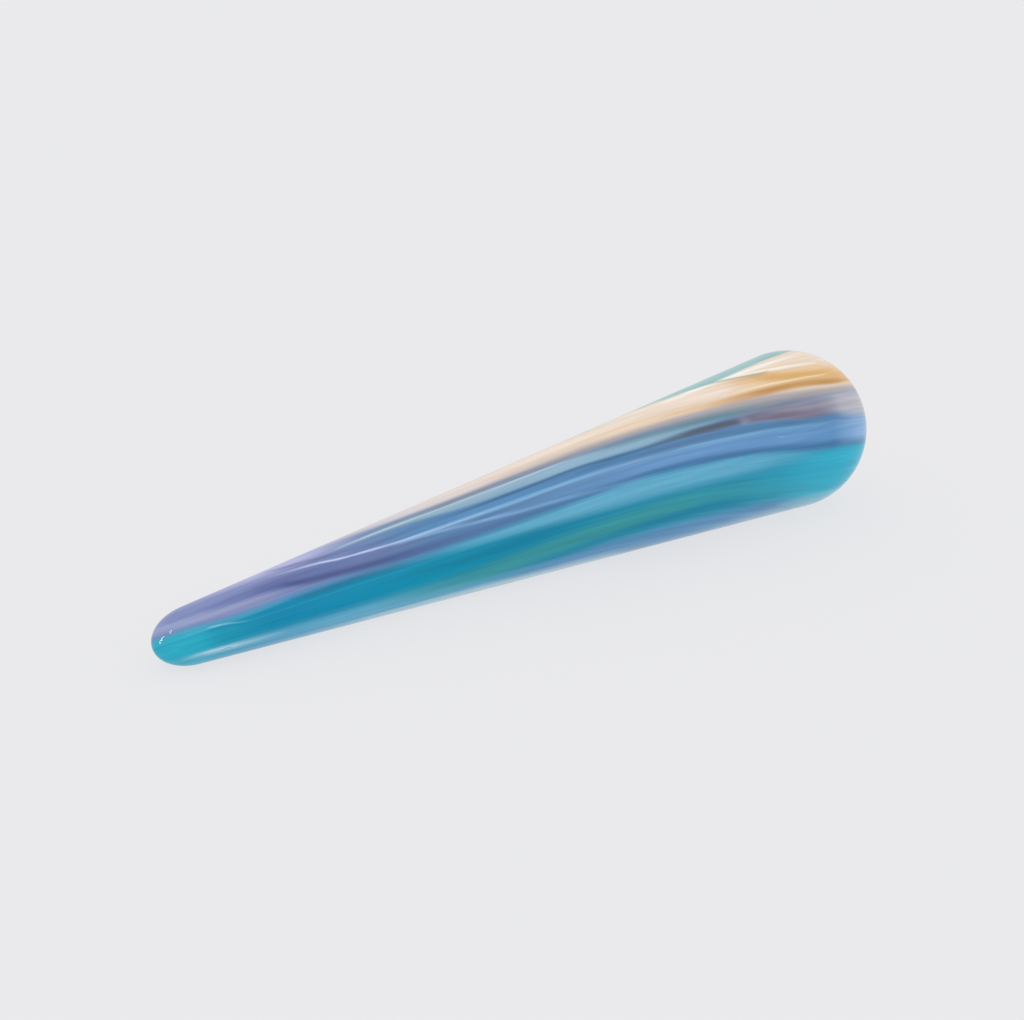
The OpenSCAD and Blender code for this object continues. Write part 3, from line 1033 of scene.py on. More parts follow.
@dataclass(frozen=True)
class MarbledGlass(Finish):
    """Fire-polished glass with ribbons through it.

    Attributes:
        tones: how dark and how bright the fine streaks make it.
        smudged: how many times rougher a smudge is.
        scratched: height of a scratch.
        ripple: scale of the ripple that the flame leaves.
    """

    tones: Point = (0.87, 1.11)
    smudged: float = 1.8
    scratched: float = -0.012
    ripple: float = 90.0

    def surface(self, graph: Graph, marbling: Marbling, handling: Tree) -> tuple[Socket, ...]:
        """Adds the marbled colour, faint smudges and a slow ripple.

        Args:
            graph: the material's nodes.
            marbling: the pen's ribbons.
            handling: the group for smudges and scratches.

        Returns:
            Its colour, roughness and height.
        """
        colour, streaks = marbling.colour(graph)
        tone = graph.spread(streaks, 0.28, 0.72, *self.tones)
        colour = graph.vector("MULTIPLY", colour, tone).outputs[0]
        here, smudge, scratch = self.marks(graph, handling)
        rough = graph.spread(smudge, 0.0, 1.0, self.roughness, self.roughness * self.smudged)
        ripple = graph.noise(here, self.ripple, 2.0)
        scratch = graph.math("MULTIPLY", scratch, self.scratched)
        return colour, rough, graph.math("ADD", ripple, scratch)


@dataclass(frozen=True)
class TurnedBrass(Finish):
    """Brass with the fine rings of the lathe.

    Attributes:
        bright: colour where it is rubbed bright.
        dull: colour where it has gone dull.
        pitch: distance between the lathe's rings.
        ring: height of a ring.
        chatter: scale of the uneven rings between them.
        smudged: how much rougher a smudge is.
        dulled: how much rougher the dull brass is.
    """

    metallic: float = 1.0
    relief: Point = (0.2, 0.02)
    bright: str = "e9c987"
    dull: str = "b98d4c"
    pitch: float = 0.09
    ring: float = 0.3
    chatter: float = 9000.0
    smudged: float = 0.16
    dulled: float = 0.1

    def surface(self, graph: Graph, marbling: Marbling, handling: Tree) -> tuple[Socket, ...]:
        """Adds dull patches, the lathe's rings and marks of handling.

        Args:
            graph: the material's nodes.
            marbling: the pen's ribbons, which know its sizes.
            handling: the group for smudges and scratches.

        Returns:
            Its colour, roughness and height.
        """
        pen = marbling.pen
        here, smudge, scratch = self.marks(graph, handling)
        patches = graph.spread(graph.noise(here, 520.0, 4.0, 0.6), 0.38, 0.68)
        colour = graph.mix(patches, linear(self.bright), linear(self.dull))
        local = graph.vector("SUBTRACT", here, pen.dome_centre).outputs[0]
        along = graph.vector("DOT_PRODUCT", local, pen.axis).outputs["Value"]
        turns = graph.math("MULTIPLY", along, 2 * math.pi / (self.pitch * MM))
        rings = graph.math("MULTIPLY", graph.math("SINE", turns), self.ring)
        spacing = graph.join(graph.math("MULTIPLY", along, self.chatter), 0.0, 0.0)
        height = graph.math("ADD", rings, graph.noise(spacing, 1.0, 2.0))
        height = graph.math("SUBTRACT", height, scratch)
        rough = graph.math("ADD", self.roughness, graph.math("MULTIPLY", smudge, self.smudged))
        rough = graph.math("ADD", rough, graph.math("MULTIPLY", patches, self.dulled))
        return colour, rough, height


@dataclass(frozen=True)
class ClearGlass(Finish):
    """Clear lamp-worked glass with a few tiny seeds and drawn-out cords.

    Attributes:
        clear: colour of the glass.
        corded: colour of a cord in it.
        drawn: scale of the cords, along the nib and across it.
        seeds: scale of the seeds.
        seed_size: how far a seed reaches.
        seed_height: height of a seed.
        smudged: how much rougher a smudge is.
    """

    transmission: float = 1.0
    relief: Point = (0.12, 0.08)
    clear: str = "f4fcfb"
    corded: str = "dcf0f0"
    drawn: tuple[float, float, float] = (60.0, 700.0, 700.0)
    seeds: float = 700.0
    seed_size: float = 0.12
    seed_height: float = 0.25
    smudged: float = 0.05

    def surface(self, graph: Graph, marbling: Marbling, handling: Tree) -> tuple[Socket, ...]:
        """Adds cords, seeds and faint smudges.

        Args:
            graph: the material's nodes.
            marbling: the pen's ribbons, of which this glass has none.
            handling: the group for smudges and scratches.

        Returns:
            Its colour, roughness and height.
        """
        here, smudge, _ = self.marks(graph, handling)
        cords = graph.noise(graph.vector("MULTIPLY", here, self.drawn).outputs[0], 1.0)
        shown = graph.spread(cords, 0.35, 0.65)
        colour = graph.mix(shown, linear(self.clear), linear(self.corded))
        rough = graph.spread(smudge, 0.0, 1.0, self.roughness, self.roughness + self.smudged)
        seeds = graph.feed_all(graph.add("TexVoronoi"), Vector=here, Scale=self.seeds)
        dots = graph.spread(seeds.outputs["Distance"], 0.0, self.seed_size, 1.0, 0.0)
        height = graph.math("ADD", cords, graph.math("MULTIPLY", dots, self.seed_height))
        return colour, rough, height


@dataclass(frozen=True)
class Moulded(Finish):
    """Moulded rubber or silicone with a fine grain and a little dust.

    Attributes:
        colour: its colour.
        dust: colour of the dust on it.
        dusty: how much dust there is.
        grain: scale of the grain.
        specks: scale of the dust.
        smudged: how dusty a smudge is.
        polish: how much smoother and how much rougher the grain makes it.
    """

    relief: Point = (0.3, 0.01)
    colour: str = "1c1c1f"
    dust: str = "6c6c70"
    dusty: float = 0.25
    grain: float = 9000.0
    specks: float = 3600.0
    smudged: float = 0.6
    polish: Point = (-0.08, 0.1)

    def surface(self, graph: Graph, marbling: Marbling, handling: Tree) -> tuple[Socket, ...]:
        """Adds the mould's grain, and dust in specks and smudges.

        Args:
            graph: the material's nodes.
            marbling: the pen's ribbons, of which this finish has none.
            handling: the group for smudges and scratches.

        Returns:
            Its colour, roughness and height.
        """
        here, smudge, _ = self.marks(graph, handling, self.dusty)
        grain = graph.noise(here, self.grain, 3.0, 0.6)
        specks = graph.spread(graph.noise(here, self.specks, 2.0), 0.6, 0.72, 0.0, self.dusty)
        dusted = graph.math("MAXIMUM", specks, graph.math("MULTIPLY", smudge, self.smudged))
        colour = graph.mix(dusted, linear(self.colour), linear(self.dust))
        smooth, rough = (self.roughness + change for change in self.polish)
        return colour, graph.spread(grain, 0.3, 0.7, smooth, rough), grain


@dataclass
class Rack:
    """Every finish of the pen, made once.

    Attributes:
        pen: the pen's sizes.
        made: the finished material of each slot.
    """

    pen: Pen
    made: dict[Slot, bpy.types.Material] = field(default_factory=dict)

    def fill(self) -> None:
        """Makes the finishes."""
        handling, marbling = handling_group(), Marbling(self.pen)
        finishes = {
            Slot.MARBLE: MarbledGlass(
                "marbled_glass_finish", roughness=0.06, ior=1.45, specular=0.12
            ),
            Slot.CABOCHON: MarbledGlass("cabochon_finish", roughness=0.03, specular=0.3),
            Slot.CLEAR: ClearGlass("clear_nib_glass", roughness=0.01),
            Slot.SLEEVE: TurnedBrass(
                "sleeve_brass_finish", roughness=0.24, bright="d9b673", dull="a47b40"
            ),
            Slot.HOLDER: TurnedBrass("polished_brass_finish", roughness=0.14, pitch=0.06),
            Slot.SEAL: Moulded("seal_rubber_finish", roughness=0.42),
            Slot.WASHER: Moulded(
                "washer_rubber_finish", roughness=0.55, colour="3a3b40", dust="7c7d82"
            ),
            Slot.SILICONE: Moulded(
                "soft_silicone_finish",
                roughness=0.36,
                subsurface=0.35,
                colour="ddd9cf",
                dust="b9b2a4",
                dusty=0.4,
            ),
        }
        for slot, finish in finishes.items():
            self.made[slot] = finish.make(marbling, handling)

    def dress(self, piece: Piece, body: Body, slot: Slot, node: str) -> None:
        """Gives a piece its finish and its place among the bodies.

        Args:
            piece: the finished piece.
            body: the body that it rides on.
            slot: the material slot of its finish.
            node: the CAD node that it stands for.
        """
        piece.data.materials.clear()
        piece.data.materials.append(self.made[slot])
        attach(piece, body.value)
        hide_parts(node)
        low, high = (Vector(v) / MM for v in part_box(node))
        size = "%.1f x %.1f x %.1f mm" % tuple(high - low)
        LOG.info("%s stands for %s, %s", piece.name, node, size)


# ---------------------------------------------------------------- sub-assemblies


@dataclass
class Barrel:
    """The glass barrel and what is fixed in its bore.

    Attributes:
        pen: the pen's shared sizes.
        rack: the finishes.
        bay_r: radius of the nib's bay.
        bay_end: depth of the bay's floor.
        bay_chamfer: chamfer at the floor.
        mouth_ease: how far the glass is eased round the mouth.
        rim_turn: the angle that this takes off the wide end, in degrees.
        nick_r: radius of the nail nick.
        nick_offset: distance from the plug's side to the nick's middle.
        washer_ease: how far the washer's edges are eased.
        cushion_top: depth of the cushion under the nib's point.
        cushion_ease: how far its edges are eased.
        dimple_r: radius of the cushion's dimple.
        dimple_depth: depth of the dimple.
        tail_round: length of the tail's half ellipse.
        tail_steps: number of steps along it.
        taper_steps: number of steps along the taper.
        dome_steps: number of steps along the wide end.
        steps: facets of the glass round the axis.
    """

    pen: Pen
    rack: Rack
    bay_r: float = 3.45
    bay_end: float = 49.33
    bay_chamfer: float = 0.8
    mouth_ease: float = 0.14
    rim_turn: float = 1.2
    nick_r: float = 1.3
    nick_offset: float = 0.5
    washer_ease: float = 0.16
    cushion_top: float = 46.33
    cushion_ease: float = 0.3
    dimple_r: float = 2.0
    dimple_depth: float = 1.0
    tail_round: float = 4.8
    tail_steps: int = 30
    taper_steps: int = 60
    dome_steps: int = 44
    steps: int = 192

    def tail(self) -> list[Point]:
        """Outlines the tail as half an ellipse, from its pole to where it meets the taper.

        Returns:
            Points as radius and depth.
        """
        pen, count = self.pen, self.tail_steps
        slope, quarter = math.tan(pen.lean), math.pi / 2
        centre = pen.tip_z + pen.tip_r - self.tail_round
        taper_r = pen.tail_r / math.cos(pen.lean) - (centre - pen.tail_z) * slope
        girth = math.sqrt(taper_r**2 - (self.tail_round * slope) ** 2)
        meets = math.atan(self.tail_round * slope / girth)
        turns = [quarter + (meets - quarter) * i / count for i in range(count + 1)]
        return [
            (max(girth * math.cos(t), 0.0), centre + self.tail_round * math.sin(t)) for t in turns
        ]

    def outside(self) -> list[Point]:
        """Outlines the glass from the tail's pole to the rim of the mouth.

        Returns:
            Points as radius and depth.
        """
        pen, points = self.pen, self.tail()
        taper = math.degrees(pen.lean)
        rim = math.degrees(math.acos((pen.sleeve_out_r + pen.gap) / pen.dome_r)) - self.rim_turn
        dome = arc(pen.dome_r, pen.dome_r, -taper, rim, self.dome_steps)
        return points + between(points[-1], dome[0], self.taper_steps) + dome

    def glass(self) -> Piece:
        """Turns the glass, bores it and grinds the nail nick.

        Returns:
            The upright piece.
        """
        pen = self.pen
        mouth = pen.sleeve_out_r + pen.gap
        pocket = pen.sleeve_end + pen.gap
        rim = (mouth, pen.dome_depth(mouth))
        points = self.outside()
        points += eased(points[-1], rim, (mouth, pocket), self.mouth_ease)
        points += [
            (mouth, pocket),
            (self.bay_r, pocket),
            (self.bay_r, self.bay_end - self.bay_chamfer),
            (self.bay_r - self.bay_chamfer, self.bay_end),
            (0.0, self.bay_end),
        ]
        piece = turn("barrel_glass", points, self.steps)
        mill(piece, self.nick_tool())
        return piece

    def nick_tool(self) -> Piece:
        """Makes the round stone that grinds the nail nick.

        Returns:
            The upright tool.
        """
        side, depth = self.pen.plug_r + self.nick_offset, self.pen.dome_depth(self.pen.plug_r)
        deselect()
        bpy.ops.mesh.primitive_uv_sphere_add(
            segments=48,
            ring_count=24,
            radius=self.nick_r * MM,
            location=(0, side * MM, -depth * MM),
            rotation=(math.pi / 2, 0, 0),
        )
        return bpy.context.object

    def sleeve(self) -> Piece:
        """Turns the sleeve with its ledge, its rim following the wide end.

        Returns:
            The upright piece.
        """
        pen = self.pen
        corners = [
            (pen.sleeve_out_r, pen.dome_depth(pen.sleeve_out_r)),
            (pen.sleeve_out_r, pen.sleeve_end),
            (pen.pass_r, pen.sleeve_end),
            (pen.pass_r, pen.washer_end),
            (pen.sleeve_in_r, pen.washer_end),
            (pen.sleeve_in_r, pen.dome_depth(pen.sleeve_in_r)),
        ]
        piece = turn("mouth_sleeve", ring_outline(corners, pen.ease))
        mill(piece, self.nick_tool())
        return piece

    def washer(self) -> Piece:
        """Turns the soft washer that the plug stops on.

        Returns:
            The upright piece.
        """
        pen = self.pen
        outer = pen.sleeve_in_r - pen.gap
        corners = [
            (pen.pass_r, pen.washer_top),
            (outer, pen.washer_top),
            (outer, pen.washer_end),
            (pen.pass_r, pen.washer_end),
        ]
        return turn("rest_washer", ring_outline(corners, self.washer_ease))

    def cushion(self) -> Piece:
        """Turns the cushion, with a dimple for the nib's point.

        Returns:
            The upright piece.
        """
        outer = self.bay_r - self.pen.gap
        corners = [
            (0.0, self.cushion_top + self.dimple_depth),
            (self.dimple_r, self.cushion_top),
            (outer, self.cushion_top),
            (outer, self.bay_end - self.bay_chamfer + self.pen.gap),
            (outer - self.bay_chamfer, self.bay_end),
            (0.0, self.bay_end),
        ]
        return turn("point_cushion", solid_outline(corners, self.cushion_ease), 96)

    def make(self) -> None:
        """Makes, lays and dresses the barrel's pieces."""
        for piece, slot, node, angle in (
            (self.glass(), Slot.MARBLE, "glass_barrel", 30),
            (self.sleeve(), Slot.SLEEVE, "socket_sleeve", 30),
            (self.washer(), Slot.WASHER, "stop_washer", 40),
            (self.cushion(), Slot.SILICONE, "tip_cushion", 30),
        ):
            self.pen.lay(piece, angle)
            self.rack.dress(piece, Body.BARREL, slot, node)


@dataclass
class Seals:
    """The two O-rings, which slide with the plug but don't turn with it.

    Attributes:
        pen: the pen's shared sizes.
        rack: the finishes.
        middle_r: radius to the middle of a ring's section.
        thickness: thickness of a ring.
        flash: height of the moulding line round a ring.
        section: number of steps round a ring's section.
        depths: depth of each ring.
    """

    pen: Pen
    rack: Rack
    middle_r: float = 3.425
    thickness: float = 0.91
    flash: float = 0.012
    section: int = 40
    depths: tuple[float, float] = (4.15, 7.515)

    def ring(self, name: str, depth: float) -> Piece:
        """Turns one ring, with the fine line that its mould leaves on each side.

        Args:
            name: the ring's name.
            depth: its depth.

        Returns:
            The upright ring.
        """
        count, half = self.section, self.thickness / 2 - self.flash
        points = []
        for i in range(count + 1):
            angle = 2 * math.pi * i / count
            radius = half + (self.flash if i % (count // 2) == count // 4 else 0.0)
            spot = (self.middle_r + radius * math.cos(angle), depth + radius * math.sin(angle))
            points.append(spot)
        return turn(name, points, 144)

    def make(self) -> None:
        """Makes, lays and dresses both rings."""
        names = (("ring_near_mouth", "outer_o_ring"), ("ring_inside", "inner_o_ring"))
        for (name, node), depth in zip(names, self.depths):
            piece = self.ring(name, depth)
            self.pen.lay(piece, 40)
            self.rack.dress(piece, Body.SEALS, Slot.SEAL, node)


@dataclass
class NibUnit:
    """The plug with its cabochon, and the glass nib that a gland holds in it.

    Attributes:
        pen: the pen's shared sizes.
        rack: the finishes.
        cabochon_r: radius of the cabochon.
        cabochon_t: its thickness.
        cabochon_ease: how far its face and its foot are eased.
        socket_top: depth where the nib's socket starts.
        bush_r: radius of the bush's bore.
        bush_top: depth where it starts.
        bush_ease: how far the bush's edges are eased.
        waist: depth of the bush's waist, half its length, and half its length with its slopes.
        gland_r: radius of the gland nut.
        gland_top: depth where it starts.
        thread_pitch: pitch of the gland nut's thread.
        thread_depth: depth of its thread.
        thread_ease: how far the thread's edges are eased.
        land: length of the plain end past the thread.
        slot_width: width of the two spanner slots.
        slot_depth: their depth.
        groove_r: radius at the bottom of an O-ring's groove.
        groove_half: half the groove's width.
        nail_groove: top and bottom depth of the nail groove.
        nail_groove_r: radius at its bottom.
        shank_r: radius of the nib's shank.
        shank_ease: how far the shank's end is eased.
        shank_steps: number of steps along the shank.
        neck_r: radius where the nib's shoulder starts.
        collar: length of the step from shank to shoulder.
        nib_r: largest radius of the nib.
        nib_length: length of the nib from shoulder to tip.
        nib_steps: number of steps along it.
        shoulder_length: length of the plain shoulder.
        ball_r: radius of the ball that writes.
        ball_steps: number of steps round it.
        flutes: number of flutes.
        flute_depth: depth of a flute at the thickest part.
        flute_sides: sides of the nib in one flute.
        run_in: share of the nib's length over which the flutes deepen.
        twist: turn of the flutes from shoulder to ball, in degrees.
    """

    pen: Pen
    rack: Rack
    cabochon_r: float = 3.05
    cabochon_t: float = 2.7
    cabochon_ease: Point = (0.1, 0.2)
    socket_top: float = 5.6
    bush_r: float = 2.95
    bush_top: float = 9.43
    bush_ease: float = 0.14
    waist: tuple[float, float, float] = (0.12, 0.5, 0.9)
    gland_r: float = 3.1
    gland_top: float = 13.03
    thread_pitch: float = 0.35
    thread_depth: float = 0.1
    thread_ease: float = 0.04
    land: float = 0.3
    slot_width: float = 0.7
    slot_depth: float = 0.6
    groove_r: float = 2.95
    groove_half: float = 0.575
    nail_groove: Point = (1.465, 2.065)
    nail_groove_r: float = 3.45
    shank_r: float = 2.1
    shank_ease: float = 0.25
    shank_steps: int = 8
    neck_r: float = 2.25
    collar: float = 0.02
    nib_r: float = 3.05
    nib_length: float = 30.0
    nib_steps: int = 72
    shoulder_length: float = 3.0
    ball_r: float = 0.35
    ball_steps: int = 6
    flutes: int = 8
    flute_depth: float = 0.55
    flute_sides: int = 12
    run_in: float = 0.12
    twist: float = 200.0

    def holder(self, ring_depths: Sequence[float]) -> Piece:
        """Turns the plug.

        Args:
            ring_depths: depth of each O-ring.

        Returns:
            The upright plug.
        """
        pen = self.pen
        seat, seat_floor = self.cabochon_r + pen.gap, self.cabochon_t + pen.gap
        corners = [
            (0.0, seat_floor),
            (seat, seat_floor),
            (seat, pen.dome_depth(seat)),
            (pen.plug_r, pen.dome_depth(pen.plug_r)),
        ]
        half, floor_r = self.groove_half, self.groove_r
        grooves = [(*self.nail_groove, self.nail_groove_r)]
        grooves += [(depth - half, depth + half, floor_r) for depth in ring_depths]
        for top, bottom, floor in grooves:
            corners += [(pen.plug_r, top), (floor, top), (floor, bottom), (pen.plug_r, bottom)]
        corners += [
            (pen.plug_r, pen.plug_end),
            (self.gland_r + pen.gap, pen.plug_end),
            (self.gland_r + pen.gap, self.gland_top),
            (self.bush_r, self.gland_top),
            (self.bush_r, self.bush_top),
            (self.shank_r + pen.gap, self.bush_top),
            (self.shank_r + pen.gap, self.socket_top),
            (0.0, self.socket_top),
        ]
        return turn("plug_holder", solid_outline(corners, pen.ease))

    def cabochon(self) -> Piece:
        """Turns the glass cabochon, whose face carries on the wide end's curve.

        Returns:
            The upright piece.
        """
        dome, (face_ease, foot_ease) = self.pen.dome_r, self.cabochon_ease
        edge = math.degrees(math.acos((self.cabochon_r - face_ease) / dome))
        rim = (self.cabochon_r, self.pen.dome_depth(self.cabochon_r))
        foot, middle = (self.cabochon_r, self.cabochon_t), (0.0, self.cabochon_t)
        points = arc(dome, dome, 90, edge, 16)
        points += eased(points[-1], rim, foot, face_ease) + eased(rim, foot, middle, foot_ease)
        return turn("plug_cabochon", points + [middle])

    def bush(self) -> Piece:
        """Turns the soft bush, waisted so that it can spread as the gland presses it.

        Returns:
            The upright piece.
        """
        inner, outer = self.shank_r + self.pen.gap, self.bush_r - self.pen.gap
        middle = (self.bush_top + self.gland_top) / 2
        depth, half, slope = self.waist
        corners = [
            (inner, self.bush_top),
            (outer, self.bush_top),
            (outer, middle - slope),
            (outer - depth, middle - half),
            (outer - depth, middle + half),
            (outer, middle + slope),
            (outer, self.gland_top),
            (inner, self.gland_top),
        ]
        return turn("nib_bush_sleeve", ring_outline(corners, self.bush_ease), 96)

    def gland(self) -> Piece:
        """Turns the gland nut, threads it and mills its two spanner slots.

        Returns:
            The upright piece.
        """
        inner, outer = self.shank_r + 2 * self.pen.gap, self.gland_r
        root, end = outer - self.thread_depth, self.pen.plug_end
        corners = [(inner, self.gland_top), (root, self.gland_top)]
        count = int((end - self.gland_top - self.thread_pitch) / self.thread_pitch)
        for i in range(count):
            top = self.gland_top + self.thread_pitch * (i + 0.5)
            corners += [(outer, top), (root, top + self.thread_pitch / 2)]
        corners += [(outer, end - self.land), (outer, end), (inner, end)]
        piece = turn("gland_ring", ring_outline(corners, self.thread_ease))
        deselect()
        bpy.ops.mesh.primitive_cube_add(size=MM, location=(0, 0, -end * MM))
        cutter = bpy.context.object
        cutter.scale = (2 * self.gland_r + 1, self.slot_width, 2 * self.slot_depth)
        bpy.ops.object.transform_apply(location=True, rotation=True, scale=True)
        mill(piece, cutter)
        return piece

    @property
    def sides(self) -> int:
        """Sides of the nib."""
        return self.flutes * self.flute_sides

    def nib_radius(self, t: float) -> float:
        """Finds the radius of the nib without its flutes.

        Args:
            t: place along the nib, from the shoulder at 0 to the ball at 1.

        Returns:
            The radius there.
        """
        plain = self.shoulder_length / self.nib_length
        if t < plain:
            return self.neck_r + (self.nib_r - self.neck_r) * math.sin(math.pi / 2 * t / plain)
        return self.ball_r + (self.nib_r - self.ball_r) * (1 - ((t - plain) / (1 - plain)) ** 1.5)

    def flute_share(self, t: float) -> float:
        """Depth of the flutes at t as a share of the nib's radius there."""
        plain = self.shoulder_length / self.nib_length
        return self.flute_depth / self.nib_r * min(1.0, max(0.0, (t - plain) / self.run_in))

    def step(self, last: Point, new: Point) -> Point:
        """Draws the open ring of the nib on.

        Args:
            last: radius and depth that the ring has.
            new: radius and depth that it gets.

        Returns:
            Its new radius and depth.
        """
        down, share = (0, 0, (last[1] - new[1]) * MM), new[0] / last[0]
        bpy.ops.mesh.extrude_region_move(TRANSFORM_OT_translate={"value": down})
        bpy.ops.transform.resize(value=(share, share, 1), center_override=(0, 0, -new[1] * MM))
        return new

    def press_flutes(
        self, piece: Piece, turned: float, before: float, after: float, depth: float
    ) -> None:
        """Presses the flutes of the open ring deeper.

        Args:
            piece: the nib.
            turned: angle of the flutes there, in radians.
            before: depth of the flutes so far, as a share of the radius.
            after: their new depth.
            depth: the ring's depth.
        """
        count = self.flute_sides
        ring = {}
        for vertex in open_mesh(piece).verts:
            if vertex.select:
                angle = math.atan2(vertex.co.y, vertex.co.x) - turned
                ring[vertex.index] = round(angle / (2 * math.pi) * self.sides) % count
        for k in range(count // 2 + 1):
            valley = (1 + math.cos(2 * math.pi * k / count)) / 2
            share = (1 - after * valley) / (1 - before * valley)
            bpy.ops.mesh.select_all(action="DESELECT")
            mesh = open_mesh(piece)
            for i, phase in ring.items():
                mesh.verts[i].select = phase in (k, count - k)
            mesh.select_flush_mode()
            bmesh.update_edit_mesh(piece.data)
            bpy.ops.transform.resize(value=(share, share, 1), center_override=(0, 0, -depth * MM))
        mesh = open_mesh(piece)
        for i in ring:
            mesh.verts[i].select = True
        mesh.select_flush(True)
        bmesh.update_edit_mesh(piece.data)

    def shank(self) -> list[Point]:
        """Plans the nib's shank, from its eased end to the shoulder.

        Returns:
            Radius and depth of each ring.
        """
        top, ease, count = self.socket_top + self.pen.gap, self.shank_ease, self.shank_steps
        length = self.pen.shoulder - top - ease
        rings = [(self.shank_r - ease, top), (self.shank_r - ease * 0.3, top + ease * 0.3)]
        return rings + [(self.shank_r, top + ease + length * i / count) for i in range(count + 1)]

    def ball(self) -> list[Point]:
        """Plans the ball that writes, from its middle to just short of its pole.

        Returns:
            Radius and depth of each ring.
        """
        tip, count = self.pen.shoulder + self.nib_length, self.ball_steps
        turns = [math.pi / 2 * i / count for i in range(1, count)]
        return [
            (self.ball_r * math.cos(t), tip - self.ball_r * (1 - math.sin(t))) for t in turns
        ]

    def nib(self) -> Piece:
        """Draws the nib out of a rod and presses its flutes in.

        Returns:
            The upright nib.
        """
        pen = self.pen
        ring, *shank = self.shank()
        deselect()
        bpy.ops.mesh.primitive_circle_add(
            vertices=self.sides,
            radius=ring[0] * MM,
            fill_type="TRIFAN",
            location=(0, 0, -ring[1] * MM),
        )
        piece = bpy.context.object
        piece.name = piece.data.name = "nib_point"
        bpy.ops.object.transform_apply(location=True, rotation=True, scale=True)
        bpy.ops.object.mode_set(mode="EDIT")
        bpy.ops.mesh.select_all(action="SELECT")
        for following in shank:
            ring = self.step(ring, following)
        turned = pressed = 0.0
        for i in range(self.nib_steps + 1):
            t = i / self.nib_steps
            down = pen.shoulder + max(self.nib_length * t - self.ball_r * t, self.collar)
            ring = self.step(ring, (self.nib_radius(t), down))
            turn_to = math.radians(self.twist) * t
            if turn_to > turned:
                bpy.ops.transform.rotate(
                    value=turned - turn_to, orient_axis="Z", center_override=(0, 0, -down * MM)
                )
                turned = turn_to
            share = self.flute_share(t)
            if share > pressed:
                self.press_flutes(piece, turned, pressed, share, down)
                pressed = share
        for following in self.ball():
            ring = self.step(ring, following)
        left = (0, 0, (ring[1] - pen.shoulder - self.nib_length) * MM)
        bpy.ops.mesh.extrude_region_move(TRANSFORM_OT_translate={"value": left})
        bpy.ops.mesh.merge(type="CENTER")
        close(piece)
        return piece

    def make(self, ring_depths: Sequence[float]) -> None:
        """Makes, lays and dresses the nib unit's pieces.

        Args:
            ring_depths: depth of each O-ring.
        """
        for piece, slot, node, angle in (
            (self.holder(ring_depths), Slot.HOLDER, "nib_holder", 30),
            (self.cabochon(), Slot.CABOCHON, "end_cabochon", 40),
            (self.bush(), Slot.SILICONE, "nib_bush", 40),
            (self.gland(), Slot.SLEEVE, "gland_nut", 30),
            (self.nib(), Slot.CLEAR, "glass_nib", 60),
        ):
            self.pen.lay(piece, angle)
            self.rack.dress(piece, Body.NIB_UNIT, slot, node)


# ---------------------------------------------------------------- studio


@dataclass(frozen=True)
class Strip:
    """A small bright strip of light that makes one glint on the glass and lights nothing else.

    Attributes:
        name: its name.
        target: place of the glint, in metres.
        towards: direction from the glint to the strip.
        away: distance to the strip, in metres.
        width: its width, in metres.
        height: its height, in metres.
        roll: its turn about its own direction, in degrees.
        brightness: its radiance.
    """

    name: str
    target: tuple[float, float, float]
    towards: tuple[float, float, float]
    away: float
    width: float
    height: float
    roll: float
    brightness: float

    def make(self) -> None:
        """Hangs the strip."""
        light = bpy.data.lights.new(self.name, "AREA")
        light.shape, light.size, light.size_y = "RECTANGLE", self.width, self.height
        light.energy = self.brightness * math.pi * self.width * self.height
        strip = bpy.data.objects.new(self.name, light)
        bpy.context.collection.objects.link(strip)
        way = Vector(self.towards).normalized()
        strip.matrix_world = (
            Matrix.Translation(Vector(self.target) + way * self.away)
            @ way.to_track_quat("Z", "Y").to_matrix().to_4x4()
            @ Matrix.Rotation(math.radians(self.roll), 4, "Z")
        )
        strip.visible_camera = strip.visible_diffuse = strip.visible_transmission = False


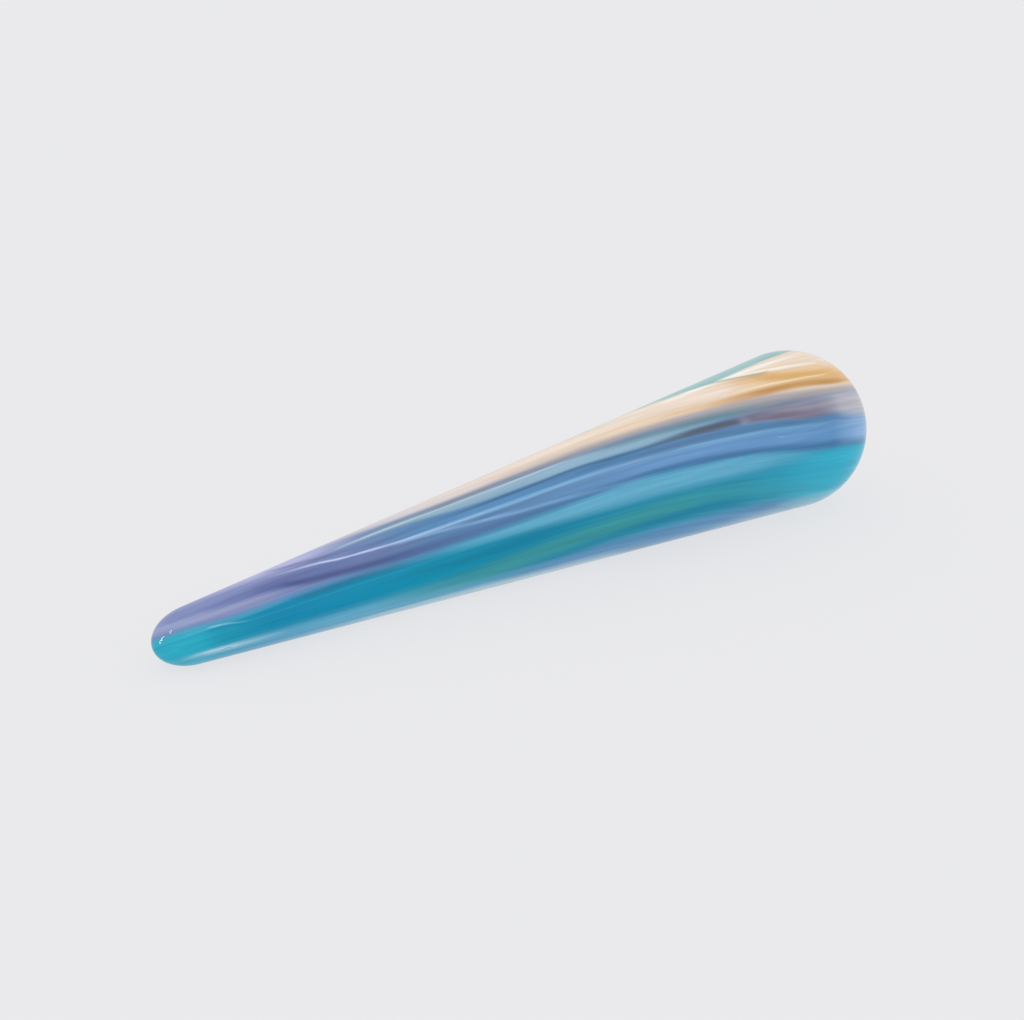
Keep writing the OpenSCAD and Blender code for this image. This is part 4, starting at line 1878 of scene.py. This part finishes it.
@dataclass
class Studio:
    """The table, the light and the camera.

    Attributes:
        azimuth: the camera's angle round the pen, in degrees.
        elevation: its angle above the table, in degrees.
        lens: its focal length.
        sensor: width of its sensor.
        camera_at: its place, in metres.
        table_size: length of the table's sides, in metres.
        table_colour: light given off and reflected by the table, in all.
        table_reflects: share of the table's light that it reflects.
        strips: the strips that make the glints.
    """

    azimuth: float = -32.511
    elevation: float = 24.0
    lens: float = 110.0
    sensor: float = 36.0
    camera_at: tuple[float, float, float] = (-0.167936, -0.261339, 0.145803)
    table_size: float = 8.0
    table_colour: Colour = (0.823, 0.823, 0.839)
    table_reflects: float = 0.15
    strips: tuple[Strip, ...] = (
        Strip(
            name="tail_strip",
            target=(-0.0445, -0.001, 0.0035),
            towards=(-0.95, 0.12, 0.26),
            away=0.5,
            width=0.07,
            height=0.28,
            roll=0.0,
            brightness=36.0,
        ),
        Strip(
            name="tail_spark",
            target=(-0.0438, -0.0012, 0.0045),
            towards=(-0.64, -0.1, 0.76),
            away=0.6,
            width=0.06,
            height=0.14,
            roll=40.0,
            brightness=30.0,
        ),
    )

    def table(self) -> None:
        """Lays a plain pale table."""
        deselect()
        bpy.ops.mesh.primitive_plane_add(size=self.table_size, location=(0, 0, 0))
        table = bpy.context.object
        table.name = "table_top"
        material, graph, shader = Finish("table_finish", roughness=1.0, specular=0.0).start()
        shown = tuple(c * self.table_reflects for c in self.table_colour)
        glow = tuple(c * (1 - self.table_reflects) for c in self.table_colour)
        glowing = {"Emission_Color": (*glow, 1.0), "Emission_Strength": 1.0}
        graph.feed_all(shader, Base_Color=(*shown, 1.0), **glowing)
        table.data.materials.append(material)

    def light(self) -> None:
        """Lights the table with an even white room."""
        world = bpy.context.scene.world or bpy.data.worlds.new("studio")
        bpy.context.scene.world = world
        world.use_nodes = True
        background = world.node_tree.nodes["Background"]
        Graph(world.node_tree).feed_all(background, Color=(1, 1, 1, 1), Strength=1.0)

    def camera(self) -> None:
        """Places the camera."""
        a, e = math.radians(self.azimuth), math.radians(self.elevation)
        back = Vector((math.sin(a) * math.cos(e), -math.cos(a) * math.cos(e), math.sin(e)))
        right = Vector((math.cos(a), math.sin(a), 0))
        camera = bpy.data.cameras.new("camera")
        camera.lens, camera.sensor_width, camera.clip_start = self.lens, self.sensor, 0.01
        eye = bpy.data.objects.new("camera", camera)
        bpy.context.collection.objects.link(eye)
        turned = Matrix((right, back.cross(right), back)).transposed().to_4x4()
        eye.matrix_world = Matrix.Translation(Vector(self.camera_at)) @ turned
        bpy.context.scene.camera = eye
        bpy.context.scene.view_settings.view_transform = "Standard"

    def make(self) -> None:
        """Sets up the table, the light and the camera."""
        self.table()
        self.light()
        for strip in self.strips:
            strip.make()
        self.camera()


def main() -> None:
    """Builds the pen's looks, one sub-assembly after another."""
    pen = Pen()
    Studio().make()
    rack = Rack(pen)
    rack.fill()
    Barrel(pen, rack).make()
    seals = Seals(pen, rack)
    seals.make()
    NibUnit(pen, rack).make(seals.depths)


if __name__ == "__main__":
    logging.basicConfig(level=logging.INFO, format="%(message)s")
    main()
